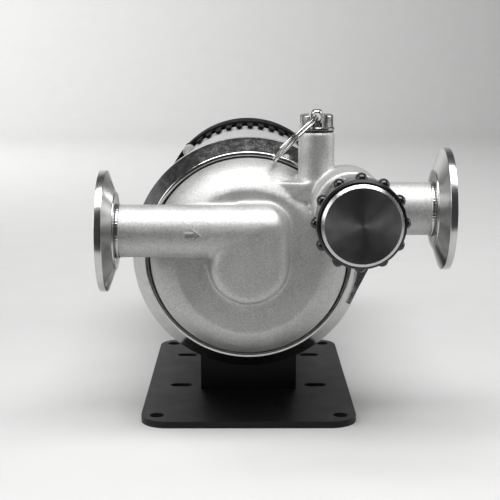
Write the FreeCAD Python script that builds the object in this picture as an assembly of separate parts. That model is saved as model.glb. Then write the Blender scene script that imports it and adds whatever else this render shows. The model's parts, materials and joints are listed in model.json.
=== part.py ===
import FreeCAD, Part
import math
import os

# Magnetically driven brewing pump with sanitary clamp ports, a linear flow valve and a bleed valve.
# Millimetres, +Z up. The origin is on the underside of the base plate, in the middle of its corner holes.
# The pump axis runs along Y, and the wet head faces -Y. The pieces are built around the pump axis with
# y = 0 on the plane where the clamp joins the head to the motor, and moved to the base at the end.

# Base plate and saddle
plate_length = 148.0
plate_width = 95.0
plate_thickness = 3.0
plate_corner_radius = 12.0
corner_hole_radius = 3.25
corner_hole_inset_x = 7.0
corner_hole_inset_y = 9.5
slot_length = 10.5
slot_width = 5.5
slot_spacing_x = 64.0
slot_spacing_y = 56.6
saddle_width = 45.0
saddle_length = 70.0
saddle_wall = 2.5
saddle_front_y = 23.0
plate_screw_radius = 2.0
shaft_height = 73.0
clamp_plane_to_plate_middle = 46.5
slot_middle_y = saddle_front_y + saddle_length / 2
corner_hole_spacing_x = plate_width - 2 * corner_hole_inset_x
corner_hole_spacing_y = plate_length - 2 * corner_hole_inset_y

# Clamped flanges, common to the head and the motor adapter
flange_radius = 45.5
flange_rim = 2.85
flange_slope = math.radians(20.0)
neck_radius = 43.0
neck_length = 11.5

# Clamp
clamp_outer_radius = 51.2
clamp_lip_radius = 43.7
clamp_half_width = 11.3
clamp_rim_half_width = 3.6
clamp_clearance = 0.3
hinge_pin_radius = 1.6
hinge_knuckle_radius = 4.0
hinge_middle_width = 6.0
hinge_width = 17.0
hinge_x = -53.3
hinge_z = 3.5
ear_width = 16.0
ear_reach = 7.5
ear_gap = 3.0
ear_thickness = 7.0
flare_angle = math.radians(26.7)
flare_radius = 50.2
bolt_radius = 3.2
bolt_pivot_x = 58.5
bolt_pivot_z = 1.5
bolt_eye_radius = 4.5
bolt_length = 29.0
bolt_pin_radius = 2.0
ear_top_radius = 14.0
washer_radius = 6.0
washer_thickness = 1.2
nut_radius = 5.0
nut_height = 6.5
wing_radius = 7.6
wing_height = 11.0
wing_thickness = 2.2

# Head casting
chamber_radius = 37.5
chamber_depth = 22.0
chamber_straight = 10.0
chamber_shoulder_depth = 17.0
chamber_shoulder_inset = 2.0
chamber_floor_inset = 8.0
front_depth = 28.0
crest_radius = 31.0
crest_depth = 27.6
shoulder_radius = 39.3
shoulder_depth = 21.0
boss_foot_radius = 18.4
boss_wall_radius = 17.1
boss_draft = 0.143
boss_front_depth = 43.6
boss_flat_radius = 11.0
pipe_radius = 11.0
pipe_bore_radius = 8.0
pipe_depth = 33.0
inlet_inner_x = 6.0
inlet_z = 14.5
outlet_z = 23.8
inlet_face_x = -61.5
outlet_face_x = 82.7
corner_radius = 10.6
corner_rounding = 5.5
channel_top_z = 34.0
channel_bottom_z = 19.0
channel_front_depth = 25.0
channel_rear_depth = 12.6
channel_bore_radius = 4.8
outlet_throat_radius = 6.5
outlet_throat_length = 2.0
channel_bore_z = 26.5
eye_radius = 10.0
eye_pocket_radius = 12.0
head_wall = 4.0

# Ferrules
ferrule_radius = 25.25
ferrule_rim = 2.85
ferrule_hub_radius = 16.3
ferrule_cone_length = 3.2
ferrule_hub_length = 0.5
ferrule_socket_depth = 4.0
gasket_groove_radius = 21.6
gasket_groove_section = 1.5

# Flow valve
valve_x = 41.7
valve_z = 25.1
valve_boss_radius = 15.4
valve_boss_front = 45.0
valve_boss_rear = 14.0
valve_chamber_radius = 10.0
valve_rear_chamber_radius = 7.0
valve_seat_radius = 5.5
valve_seat_depth = 26.0
valve_seat_thickness = 2.0
valve_travel = 9.0
bonnet_spigot_radius = 11.0
bonnet_spigot_length = 4.0
bonnet_hex_across = 26.0
bonnet_hex_length = 5.0
bonnet_neck_radius = 8.0
bonnet_neck_length = 8.0
stem_radius = 3.95
plunger_length = 5.5
plunger_clearance = 0.3
knob_rear_depth = 68.5
knob_cone_length = 10.5
knob_lobe_length = 6.4
knob_grip_lip = 3.2
knob_face_lead = 3.2
knob_rear_wall = 9.0
knob_face_radius = 15.3
knob_bevel = 1.1
knob_ring_radius = 16.9
knob_rear_radius = 14.0
knob_lobe_radius = 2.3
knob_lobe_count = 12
knob_tip_radius = 18.8
knob_lobe_rear_depth = knob_rear_depth + knob_cone_length
knob_lobe_front_depth = knob_lobe_rear_depth + knob_lobe_length
knob_grip_front_depth = knob_lobe_front_depth + knob_grip_lip
knob_front_depth = knob_grip_front_depth + knob_face_lead
knob_skirt_rear_depth = knob_rear_depth + knob_rear_wall
running_clearance = 0.05

# Bleed valve on its tower
tower_x = 28.6
tower_depth = 20.3
tower_radius = 7.65
tower_top_z = 54.9
tower_bore_radius = 4.6
tower_seat_z = 40.0
tower_port_radius = 2.0
vent_gasket_thickness = 0.6
vent_collar_radius = 7.5
vent_collar_height = 1.5
vent_crown_radius = 7.05
vent_crown_inner_radius = 4.6
vent_crown_height = 5.2
vent_spigot_length = 7.0
vent_slot_width = 6.2
vent_stem_radius = 2.5
vent_stem_top_z = 64.3
vent_disc_radius = 4.0
vent_disc_height = 2.5
vent_seal_height = 0.7
vent_lift = 2.5
pull_hole_z = 61.1
pull_hole_radius = 1.7
pull_ring_radius = 12.6
pull_wire_radius = 0.55
pull_ring_pitch = 1.3
pull_ring_turns = 1.92
pull_ring_start = 200.0
pull_ring_drop = 44.2
pull_ring_tilt = -4.7
spring_wire_radius = 0.25
spring_turns = 3.0

# Wet end behind the clamp plane
oring_groove_inner = 39.8
oring_groove_outer = 42.6
oring_groove_depth = 2.6
oring_section_radius = 1.2
can_flange_radius = 43.4
can_flange_thickness = 1.5
can_bore_radius = 20.5
can_wall = 1.0
can_depth = 29.0
impeller_shaft_radius = 3.0
impeller_radius = 33.5
impeller_blade_count = 6
impeller_blade_thickness = 2.0
impeller_disc_rear = 3.0
impeller_disc_thickness = 2.5
impeller_blade_height = 10.0
impeller_hub_radius = 9.0
magnet_ring_radius = 19.5
magnet_ring_length = 22.0
bush_radius = 5.0
thrust_washer_thickness = 1.5

# Motor
shell_radius = 46.0
shell_wall = 2.5
shell_end_y = 157.0
adapter_radius = shell_radius
adapter_length = 56.0
adapter_wall = 4.0
drive_cup_inner_radius = 25.6
drive_cup_radius = 31.5
drive_magnet_thickness = 3.0
drive_magnet_count = 8
motor_shaft_radius = 6.0
bearing_radius = 14.0
bearing_width = 8.0
ear_setback = 9.0
ear_end_y = shell_end_y - ear_setback
stack_start_y = 76.0
stack_length = 36.0
stator_thickness = 19.5
stator_bore_radius = shell_radius - shell_wall - stator_thickness
air_gap = 0.5
winding_overhang = 10.0
ear_boss_radius = 3.2
ear_boss_stand = 0.6
ear_boss_ring_radius = shell_radius + ear_boss_stand
ear_boss_length = 10.0
cowl_screw_radius = 1.5
cowl_wall = 2.0
cowl_room = 0.9
cowl_radius = shell_radius + cowl_room + cowl_wall
cowl_lap = 1.0
cowl_front_y = shell_end_y - cowl_lap
cowl_length = 39.0
cowl_end_y = cowl_front_y + cowl_length
cowl_tooth_count = 50
cowl_tooth_width = 3.0
cowl_tooth_reach = 28.5
cowl_tooth_start_y = cowl_front_y - cowl_tooth_reach
cowl_tooth_height = 1.6
cowl_tooth_turn = 1.6
cowl_slot_count = 20
fan_tip_gap = 8.9
fan_radius = cowl_radius - cowl_wall - fan_tip_gap
fan_blade_count = 7
fan_setback = 3.0
fan_start_y = shell_end_y + fan_setback
fan_width = 16.0
gland_y = 118.0
gland_z = -8.0
gland_bore_radius = 3.4
gland_length = 14.0

V = FreeCAD.Vector
along_x = V(1, 0, 0)
along_y = V(0, 1, 0)
along_z = V(0, 0, 1)


def flange_depth(radius):
    # depth of the sloped back of a clamped flange at a radius
    return flange_rim + (flange_radius - radius) * math.tan(flange_slope)


def outline(points, closed=True):
    # wire through points; an entry of two points is an arc through the first to the second
    edges = []
    start = points[0]
    for item in points[1:]:
        if isinstance(item, tuple):
            edges.append(Part.Arc(start, item[0], item[1]).toShape())
            start = item[1]
        else:
            edges.append(Part.makeLine(start, item))
            start = item
    if closed and start.distanceToPoint(points[0]) > 1e-6:
        edges.append(Part.makeLine(start, points[0]))
    return Part.Wire(edges)


def turned(profile, x=0.0, z=0.0):
    # solid of revolution about the line through (x, z) along Y, from (radius, y) pairs
    # an arc is a pair of such pairs: a point on it and its end
    points = []
    for item in profile:
        if isinstance(item[0], tuple):
            points.append((V(item[0][0], item[0][1], 0), V(item[1][0], item[1][1], 0)))
        else:
            points.append(V(item[0], item[1], 0))
    face = Part.Face(outline(points))
    solid = face.revolve(V(0, 0, 0), along_y, 360)
    solid.translate(V(x, 0, z))
    return solid


def rod_y(radius, y_start, y_end, x=0.0, z=0.0):
    return Part.makeCylinder(radius, y_end - y_start, V(x, y_start, z), along_y)


def rod_x(radius, x_start, x_end, y, z):
    return Part.makeCylinder(radius, x_end - x_start, V(x_start, y, z), along_x)


def rod_z(radius, z_start, z_end, x, y):
    return Part.makeCylinder(radius, z_end - z_start, V(x, y, z_start), along_z)


def tube_y(outer, inner, y_start, y_end, x=0.0, z=0.0):
    return rod_y(outer, y_start, y_end, x, z).cut(rod_y(inner, y_start - 1, y_end + 1, x, z))


def tube_z(outer, inner, z_start, z_end, x, y):
    return rod_z(outer, z_start, z_end, x, y).cut(rod_z(inner, z_start - 1, z_end + 1, x, y))


def block(x_range, y_range, z_range):
    size = [high - low for low, high in (x_range, y_range, z_range)]
    return Part.makeBox(size[0], size[1], size[2], V(x_range[0], y_range[0], z_range[0]))


def spun(shape, count, first=0.0):
    # copies of a shape at equal angles round the pump axis
    copies = []
    for index in range(count):
        copy = shape.copy()
        copy.rotate(V(0, 0, 0), along_y, first + 360.0 * index / count)
        copies.append(copy)
    return copies


def joined(shapes):
    return shapes[0].fuse(shapes[1:]).removeSplitter()


def plate_places(spacing_x, spacing_y, middle_y):
    return [
        (side * spacing_x / 2, middle_y + end * spacing_y / 2)
        for side in (-1, 1)
        for end in (-1, 1)
    ]


plate_top_z = plate_thickness - shaft_height
plate_bottom_z = -shaft_height
saddle_rear_y = saddle_front_y + saddle_length
saddle_top_radius = adapter_radius + clamp_clearance
saddle_screw_inset = 6.5
saddle_screw_spacing_x = saddle_width - 2 * saddle_screw_inset
saddle_screw_spacing_y = saddle_length - 2 * saddle_screw_inset
saddle_boss_radius = 4.5
saddle_boss_height = 12.0
motor_screw_radius = 2.5
motor_screw_ys = (saddle_front_y + 12.0, saddle_rear_y - 12.0)
screw_bite = 4.0
screw_head_height = 3.0


def base_plate():
    plate = block(
        (-plate_width / 2, plate_width / 2),
        (clamp_plane_to_plate_middle - plate_length / 2, clamp_plane_to_plate_middle + plate_length / 2),
        (plate_bottom_z, plate_top_z),
    )
    uprights = [e for e in plate.Edges if abs(e.Vertexes[0].Z - e.Vertexes[1].Z) > plate_thickness / 2]
    plate = plate.makeFillet(plate_corner_radius, uprights)
    cuts = []
    for x, y in plate_places(corner_hole_spacing_x, corner_hole_spacing_y, clamp_plane_to_plate_middle):
        cuts.append(rod_z(corner_hole_radius, plate_bottom_z - 1, plate_top_z + 1, x, y))
    half_run = (slot_length - slot_width) / 2
    for x, y in plate_places(slot_spacing_x, slot_spacing_y, slot_middle_y):
        for end in (-1, 1):
            cuts.append(rod_z(slot_width / 2, plate_bottom_z - 1, plate_top_z + 1, x + end * half_run, y))
        cuts.append(
            block(
                (x - half_run, x + half_run),
                (y - slot_width / 2, y + slot_width / 2),
                (plate_bottom_z - 1, plate_top_z + 1),
            )
        )
    for x, y in plate_places(saddle_screw_spacing_x, saddle_screw_spacing_y, slot_middle_y):
        cuts.append(saddle_screw_body(x, y, running_clearance))
    return plate.cut(cuts)


def saddle_screw_body(x, y, spare):
    # countersunk screw from below the plate into a boss of the saddle
    shank = rod_z(plate_screw_radius + spare, plate_bottom_z, plate_top_z + screw_bite * 2, x, y)
    head = Part.makeCone(
        2 * plate_screw_radius + spare,
        plate_screw_radius + spare,
        plate_screw_radius,
        V(x, y, plate_bottom_z),
        along_z,
    )
    return shank.fuse(head)


def saddle_screws():
    places = plate_places(saddle_screw_spacing_x, saddle_screw_spacing_y, slot_middle_y)
    return Part.makeCompound([saddle_screw_body(x, y, 0.0) for x, y in places])


def motor_saddle():
    half = saddle_width / 2
    outer = block((-half, half), (saddle_front_y, saddle_rear_y), (plate_top_z, 0))
    inner_half = half - saddle_wall
    inner = block(
        (-inner_half, inner_half),
        (saddle_front_y + saddle_wall, saddle_rear_y - saddle_wall),
        (plate_top_z - 1, 0),
    )
    inner = inner.cut(rod_y(saddle_top_radius + saddle_wall, saddle_front_y - 1, saddle_rear_y + 1))
    saddle = outer.cut([inner, rod_y(saddle_top_radius, saddle_front_y - 1, saddle_rear_y + 1)])
    bosses = []
    holes = []
    for x, y in plate_places(saddle_screw_spacing_x, saddle_screw_spacing_y, slot_middle_y):
        boss = rod_z(saddle_boss_radius, plate_top_z, plate_top_z + saddle_boss_height, x, y)
        bosses.append(boss)
        holes.append(
            rod_z(
                plate_screw_radius + running_clearance,
                plate_top_z - 1,
                plate_top_z + screw_bite * 2 + 0.5,
                x,
                y,
            )
        )
    for y in motor_screw_ys:
        holes.append(rod_z(motor_screw_radius + running_clearance, plate_top_z, 0, 0, y))
    return joined([saddle] + bosses).cut(holes)


def motor_screws():
    screws = []
    for y in motor_screw_ys:
        head_top = -saddle_top_radius - saddle_wall
        tip = -adapter_radius + shell_wall * 0.8
        shank = rod_z(motor_screw_radius, head_top - screw_head_height, tip, 0, y)
        head = rod_z(2 * motor_screw_radius, head_top - screw_head_height, head_top, 0, y)
        socket = hexagon_z(2 * motor_screw_radius, head_top - screw_head_height - 1, head_top - 1.5, 0, y)
        screws.append(shank.fuse(head).cut(socket))
    return Part.makeCompound(screws)


def hexagon_points(across, turn=0.0):
    radius = across / math.sqrt(3)
    angles = [math.radians(60 * step + turn) for step in range(6)]
    return [(radius * math.cos(a), radius * math.sin(a)) for a in angles]


def hexagon_z(across, z_start, z_end, x, y):
    points = [V(x + a, y + b, z_start) for a, b in hexagon_points(across)]
    return Part.Face(outline(points)).extrude(V(0, 0, z_end - z_start))


def hexagon_y(across, y_start, y_end, x=0.0, z=0.0):
    points = [V(x + a, y_start, z + b) for a, b in hexagon_points(across)]
    return Part.Face(outline(points)).extrude(V(0, y_end - y_start, 0))


def head_body():
    # flange, neck, rounded shoulder, flat front and drafted boss in one turned form
    foot = boss_foot_radius
    wall_start = front_depth + 1.5
    wall_end = boss_front_depth - 5.0
    return turned(
        [
            (0, 0),
            (flange_radius, 0),
            (flange_radius, -flange_rim),
            (neck_radius, -flange_depth(neck_radius)),
            (neck_radius, -neck_length),
            ((shoulder_radius, -shoulder_depth), (crest_radius, -crest_depth)),
            (foot, -front_depth - 0.2),
            ((foot - 0.9, -front_depth - 0.55), (boss_wall_radius, -wall_start)),
            (boss_wall_radius - boss_draft * (wall_end - wall_start), -wall_end),
            ((boss_wall_radius - 2.7, -boss_front_depth + 1.35), (boss_flat_radius, -boss_front_depth)),
            (0, -boss_front_depth),
        ]
    )


def corner_outline(depth):
    # wall of the corner block at a depth, drafted like the boss
    top = inlet_z + pipe_radius
    right = boss_wall_radius - boss_draft * (depth - front_depth - 1.5)
    turn = corner_radius * (1 - math.sqrt(0.5))
    points = [
        V(-4, -depth, 0),
        V(right, -depth, 0),
        V(right, -depth, top - corner_radius),
        (V(right - turn, -depth, top - turn), V(right - corner_radius, -depth, top)),
        V(-4, -depth, top),
    ]
    return outline(points)


def boss_corner():
    # the end of the inlet pipe turns the corner into the boss
    top = inlet_z + pipe_radius
    rear = front_depth - 1.0
    front = boss_front_depth
    solid = Part.makeLoft([corner_outline(rear), corner_outline(front)], True, True)
    front_edges = []
    for edge in solid.Edges:
        box = edge.BoundBox
        on_right = box.XMin > 5.0 and box.ZLength > 5.0
        on_top = box.ZMin > top - corner_radius - 0.01
        if box.YMax < -front + 0.01 and (on_right or on_top):
            front_edges.append(edge)
    solid = solid.makeFillet(corner_rounding, front_edges)
    # the pipe's own roundness limits the block along its top
    reach = front - pipe_depth
    flat_top = inlet_z + math.sqrt(pipe_radius**2 - reach**2)
    bend = math.radians(45.0)
    middle = V(-4, -pipe_depth - pipe_radius * math.cos(bend), inlet_z + pipe_radius * math.sin(bend))
    section = [
        V(-4, -rear, 0),
        V(-4, -front, 0),
        V(-4, -front, flat_top),
        (middle, V(-4, -pipe_depth, top)),
        V(-4, -rear, top),
    ]
    limit = Part.Face(outline(section)).extrude(V(boss_wall_radius + 5, 0, 0))
    return solid.common(limit)


def discharge_channel():
    # web from the shoulder to the valve boss; its front leans back below the ledge that carries the tower
    ledge = tower_depth + tower_radius + 0.2
    points = [
        V(9.0, -channel_rear_depth, channel_bottom_z),
        V(valve_x - 6.0, -channel_rear_depth, channel_bottom_z),
        V(valve_x - 6.0, -ledge, channel_bottom_z),
        V(tower_x - 5.0, -ledge, channel_bottom_z),
        V(13.5, -channel_front_depth, channel_bottom_z),
        V(9.0, -channel_front_depth + 1.5, channel_bottom_z),
    ]
    web = Part.Face(outline(points)).extrude(V(0, 0, channel_top_z - channel_bottom_z))
    lean = [
        V(8.0, -ledge - 1.0, channel_top_z - 1.0),
        V(8.0, -ledge - 1.0, channel_bottom_z - 1.0),
        V(8.0, -channel_front_depth + 3.0, channel_bottom_z - 1.0),
    ]
    return web.cut(Part.Face(outline(lean)).extrude(V(valve_x, 0, 0)))


def valve_boss():
    boss = rod_y(valve_boss_radius, -valve_boss_front, -valve_boss_rear, valve_x, valve_z)
    rim = [e for e in boss.Edges if e.BoundBox.YMax < -valve_boss_front + 0.01]
    return boss.makeFillet(1.5, rim)


def bleed_tower():
    tower = rod_z(tower_radius, channel_top_z - 0.8, tower_top_z, tower_x, -tower_depth)
    rim = [e for e in tower.Edges if e.BoundBox.ZMin > tower_top_z - 0.01]
    return tower.makeChamfer(0.5, rim)


def head_casting():
    seat = ferrule_socket_depth
    inlet = rod_x(pipe_radius, inlet_face_x + seat, inlet_inner_x, -pipe_depth, inlet_z)
    outlet = rod_x(pipe_radius, valve_x, outlet_face_x - seat, -pipe_depth, outlet_z)
    body = joined(
        [head_body(), inlet, boss_corner(), discharge_channel(), valve_boss(), outlet, bleed_tower()]
    )
    chamber = turned(
        [
            (0, 1),
            (chamber_radius, 1),
            (chamber_radius, -chamber_straight),
            (
                (chamber_radius - chamber_shoulder_inset, -chamber_shoulder_depth),
                (chamber_radius - chamber_floor_inset, -chamber_depth),
            ),
            (0, -chamber_depth),
        ]
    )
    groove = tube_y(oring_groove_outer, oring_groove_inner, -oring_groove_depth, 1)
    eye = rod_y(eye_radius, -pipe_depth, -chamber_depth + 1)
    pocket = rod_y(eye_pocket_radius, -boss_front_depth + head_wall, -chamber_depth - head_wall)
    link = block(
        (-eye_pocket_radius, eye_radius),
        (-boss_front_depth + head_wall, -chamber_depth - head_wall),
        (0, inlet_z + pipe_bore_radius - 2.0),
    )
    inlet_bore = rod_x(pipe_bore_radius, inlet_face_x - 1, inlet_inner_x - 2.0, -pipe_depth, inlet_z)
    channel_bore = rod_x(channel_bore_radius, 14.0, valve_x, -tower_depth + 1.0, channel_bore_z)
    rear_chamber = rod_y(
        valve_rear_chamber_radius,
        -valve_seat_depth + valve_seat_thickness,
        -valve_boss_rear - 2.5,
        valve_x,
        valve_z,
    )
    seat_hole = rod_y(valve_seat_radius, -valve_seat_depth - 1, -valve_boss_rear - 5.0, valve_x, valve_z)
    front_chamber = rod_y(valve_chamber_radius, -valve_boss_front - 1, -valve_seat_depth, valve_x, valve_z)
    spigot_bore = rod_y(
        bonnet_spigot_radius,
        -valve_boss_front - 1,
        -valve_boss_front + bonnet_spigot_length,
        valve_x,
        valve_z,
    )
    outlet_bore_x = valve_x + valve_chamber_radius + outlet_throat_length
    outlet_bore = rod_x(pipe_bore_radius, outlet_bore_x, outlet_face_x + 1, -pipe_depth, outlet_z)
    throat = rod_x(outlet_throat_radius, valve_x, outlet_bore_x + 0.5, -pipe_depth, outlet_z)
    tower_bore = rod_z(tower_bore_radius, tower_seat_z, tower_top_z + 1, tower_x, -tower_depth)
    port = rod_z(tower_port_radius, channel_bore_z, tower_seat_z + 1, tower_x, -tower_depth)
    return body.cut(
        [chamber, groove, eye, pocket, link, inlet_bore, channel_bore]
        + [rear_chamber, seat_hole, front_chamber, spigot_bore]
        + [outlet_bore, throat, tower_bore, port]
    )


def ferrule(face_x, z, side):
    # side is +1 where the sealing face looks along +X
    socket = pipe_radius + running_clearance
    hub_end = ferrule_rim + ferrule_cone_length + ferrule_hub_length
    profile = [
        (pipe_bore_radius, 0),
        (ferrule_radius, 0),
        (ferrule_radius, -ferrule_rim),
        (ferrule_hub_radius, -ferrule_rim - ferrule_cone_length),
        (ferrule_hub_radius, -hub_end),
        (socket, -hub_end),
        (socket, -ferrule_socket_depth),
        (pipe_bore_radius, -ferrule_socket_depth),
    ]
    solid = turned(profile)
    groove = Part.makeTorus(gasket_groove_radius, gasket_groove_section, V(0, 0, 0), along_y)
    solid = solid.cut(groove)
    solid.rotate(V(0, 0, 0), along_z, -90 * side)
    solid.translate(V(face_x, -pipe_depth, z))
    return solid


def inlet_ferrule():
    return ferrule(inlet_face_x, inlet_z, -1)


def outlet_ferrule():
    return ferrule(outlet_face_x, outlet_z, 1)


def clamp_ring():
    lip = clamp_lip_radius
    spare = clamp_clearance / math.cos(flange_slope)
    groove_bottom = flange_radius + 2 * clamp_clearance
    side = []
    for sign in (1, -1):
        points = [
            (groove_bottom, flange_depth(groove_bottom) + spare),
            (lip, flange_depth(lip) + spare),
            (lip, clamp_half_width - 0.6),
            (lip + 0.6, clamp_half_width),
            (lip + 1.6, clamp_half_width),
            (clamp_outer_radius - 0.7, clamp_rim_half_width + 0.9),
            (clamp_outer_radius, clamp_rim_half_width),
        ]
        side.append([(r, sign * y) for r, y in points])
    return turned(side[0] + side[1][::-1])


def clamp_sector(upper):
    # the part of the ring above or below the split, which steps up to the ear side
    big = clamp_outer_radius + 5
    upper_right = bolt_pivot_z + ear_top_radius - ear_thickness
    if upper:
        left = block((-big, 0), (-big, big), (hinge_z + 0.5, big))
        right = block((0, big), (-big, big), (upper_right, big))
    else:
        left = block((-big, 0), (-big, big), (-big, hinge_z - 0.5))
        right = block((0, big), (-big, big), (-big, upper_right - ear_gap))
    return clamp_ring().common(left.fuse(right))


def ear_flare(sign):
    # web that leaves the ring at a tangent and runs out to the ear
    angle = flare_angle
    touch = V(flare_radius * math.cos(angle), 0, sign * flare_radius * math.sin(angle))
    end_z = bolt_pivot_z - bolt_eye_radius if sign < 0 else bolt_pivot_z + ear_top_radius
    run = (touch.z - end_z) * sign / math.cos(angle)
    end = V(touch.x + run * math.sin(angle), 0, end_z)
    inner = clamp_lip_radius + 4.0
    points = [
        touch,
        end,
        V(end.x, 0, bolt_pivot_z + 6.0),
        V(inner, 0, bolt_pivot_z + 6.0),
        V(inner * math.cos(angle), 0, sign * inner * math.sin(angle)),
    ]
    web = Part.Face(outline(points)).extrude(V(0, ear_width - 2.0, 0))
    web.translate(V(0, 1.0 - ear_width / 2, 0))
    keep_out = rod_y(flange_radius + 2 * clamp_clearance, -ear_width, ear_width)
    return web.cut(keep_out)


def clamp_lower_half():
    ear_top = bolt_pivot_z + ear_top_radius - ear_thickness - ear_gap
    half = ear_width / 2
    ear_bottom = bolt_pivot_z - bolt_eye_radius
    ear = block((clamp_lip_radius + 4.0, bolt_pivot_x), (-half, half), (ear_bottom, ear_top))
    ear = ear.fuse(rod_y(bolt_eye_radius, -half, half, bolt_pivot_x, bolt_pivot_z))
    cap = block(
        (bolt_pivot_x - 0.1, bolt_pivot_x + bolt_eye_radius), (-half, half), (bolt_pivot_z, ear_top)
    )
    ear = ear.fuse(cap)
    flare = ear_flare(-1).common(block((0, 90), (-half, half), (-60, ear_top)))
    slot_half = bolt_radius + clamp_clearance
    slot = block(
        (bolt_pivot_x - bolt_eye_radius - 0.6, bolt_pivot_x + 20),
        (-slot_half, slot_half),
        (ear_bottom - 20, ear_top + 5),
    )
    hinge_half = hinge_middle_width / 2
    knuckle = rod_y(hinge_knuckle_radius, -hinge_half, hinge_half, hinge_x, hinge_z)
    web = block(
        (hinge_x, -clamp_lip_radius - 3.0), (-hinge_half, hinge_half), (hinge_z - 3.6, hinge_z - 0.5)
    )
    body = joined([clamp_sector(False), ear, flare, knuckle, web])
    keep_out = rod_y(flange_radius + 2 * clamp_clearance, -flange_rim, flange_rim)
    return body.cut(
        [
            slot,
            keep_out,
            rod_y(bolt_pin_radius, -half - 1, half + 1, bolt_pivot_x, bolt_pivot_z),
            rod_y(hinge_pin_radius, -hinge_width, hinge_width, hinge_x, hinge_z),
        ]
        + hinge_clearances(False)
    )


def hinge_clearances(for_upper):
    # room for the other half's knuckles
    spare = clamp_clearance
    radius = hinge_knuckle_radius + spare
    half = hinge_middle_width / 2 + spare
    end = hinge_width / 2 + spare
    if for_upper:
        return [rod_y(radius, -half, half, hinge_x, hinge_z)]
    half = half - 2 * spare
    return [
        rod_y(radius, -end, -half, hinge_x, hinge_z),
        rod_y(radius, half, end, hinge_x, hinge_z),
    ]


def clamp_upper_half():
    ear_bottom = bolt_pivot_z + ear_top_radius - ear_thickness
    half = ear_width / 2
    ear_end = bolt_pivot_x + ear_reach
    ear = block((clamp_lip_radius + 4.0, ear_end), (-half, half), (ear_bottom, ear_bottom + ear_thickness))
    crown = rod_y(ear_top_radius, -half, half, bolt_pivot_x, bolt_pivot_z)
    inner_part = block((0, bolt_pivot_x - ear_reach - 1.0), (-half, half), (ear_bottom, ear_bottom + 5.0))
    ear = ear.common(crown.fuse(inner_part))
    flare = ear_flare(1).common(block((0, bolt_pivot_x - ear_reach), (-half, half), (ear_bottom, 60)))
    slot_half = bolt_radius + clamp_clearance
    slot = block((bolt_pivot_x, ear_end + 5), (-slot_half, slot_half), (ear_bottom - 1, ear_bottom + 20))
    slot_end = rod_z(slot_half, ear_bottom - 1, ear_bottom + 20, bolt_pivot_x, 0)
    shoulder = hinge_middle_width / 2 + clamp_clearance
    knuckles = []
    for low, high in ((-hinge_width / 2, -shoulder), (shoulder, hinge_width / 2)):
        knuckles.append(rod_y(hinge_knuckle_radius, low, high, hinge_x, hinge_z))
        knuckles.append(
            block((hinge_x, -clamp_lip_radius - 3.0), (low, high), (hinge_z + 0.5, hinge_z + 3.6))
        )
    body = joined([clamp_sector(True), ear, flare] + knuckles)
    keep_out = rod_y(flange_radius + 2 * clamp_clearance, -flange_rim, flange_rim)
    pin_hole = rod_y(hinge_pin_radius + running_clearance, -hinge_width, hinge_width, hinge_x, hinge_z)
    return body.cut([slot, slot_end, pin_hole, keep_out] + hinge_clearances(True))


def clamp_hinge_pin():
    head = rod_y(hinge_pin_radius + 1.0, -hinge_width / 2 - 1.2, -hinge_width / 2 - 0.1, hinge_x, hinge_z)
    body = rod_y(hinge_pin_radius, -hinge_width / 2 - 0.5, hinge_width / 2 + 0.8, hinge_x, hinge_z)
    return body.fuse(head).removeSplitter()


def clamp_bolt():
    # swing bolt: round eye on the pin, threaded shank
    eye = rod_y(bolt_eye_radius, -bolt_radius, bolt_radius, bolt_pivot_x, bolt_pivot_z)
    shank = rod_z(bolt_radius, bolt_pivot_z + 2, bolt_pivot_z + bolt_length, bolt_pivot_x, 0)
    tip = [e for e in shank.Edges if e.BoundBox.ZMin > bolt_pivot_z + bolt_length - 0.01]
    shank = shank.makeChamfer(0.8, tip)
    hole = rod_y(bolt_pin_radius + running_clearance, -10, 10, bolt_pivot_x, bolt_pivot_z)
    return joined([eye, shank]).cut(hole)


def clamp_bolt_pin():
    half = ear_width / 2
    body = rod_y(bolt_pin_radius, -half - 0.4, half + 0.4, bolt_pivot_x, bolt_pivot_z)
    ends = [e for e in body.Edges if abs(e.BoundBox.YMax - e.BoundBox.YMin) < 0.01]
    return body.makeChamfer(0.3, ends)


washer_start_z = bolt_pivot_z + ear_top_radius + clamp_clearance
nut_start_z = washer_start_z + washer_thickness


def clamp_washer():
    return tube_z(
        washer_radius, bolt_radius + clamp_clearance, washer_start_z, nut_start_z, bolt_pivot_x, 0
    )


def clamp_wing_nut():
    start = nut_start_z + 0.1
    body = Part.makeCone(nut_radius, nut_radius - 1.0, nut_height, V(bolt_pivot_x, 0, start), along_z)
    wings = []
    for side in (-1, 1):
        points = [
            V(bolt_pivot_x + side * 4.0, 0, start + 1.5),
            V(bolt_pivot_x + side * nut_radius, 0, start + 1.5),
            V(bolt_pivot_x + side * wing_radius, 0, start + wing_height * 0.55),
            (
                V(bolt_pivot_x + side * (wing_radius - 0.6), 0, start + wing_height - 1.2),
                V(bolt_pivot_x + side * (wing_radius - 2.6), 0, start + wing_height - 0.6),
            ),
            V(bolt_pivot_x + side * 4.0, 0, start + nut_height - 0.6),
        ]
        wing = Part.Face(outline(points)).extrude(V(0, wing_thickness, 0))
        wing.translate(V(0, -wing_thickness / 2, 0))
        wings.append(wing)
    hole = rod_z(bolt_radius + running_clearance, start - 1, start + wing_height + 1, bolt_pivot_x, 0)
    return joined([body] + wings).cut(hole)


plunger_face_y = -valve_seat_depth - valve_travel - clamp_clearance
plunger_front_y = plunger_face_y - plunger_length
bonnet_start_y = -valve_boss_front
bonnet_hex_end_y = bonnet_start_y - bonnet_hex_length
bonnet_end_y = bonnet_hex_end_y - bonnet_neck_length
stem_groove_radius = 3.2
clip_y = plunger_front_y + 1.2
clip_thickness = 0.8
clip_radius = 5.4


def at_valve(profile):
    return turned(profile, valve_x, valve_z)


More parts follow.
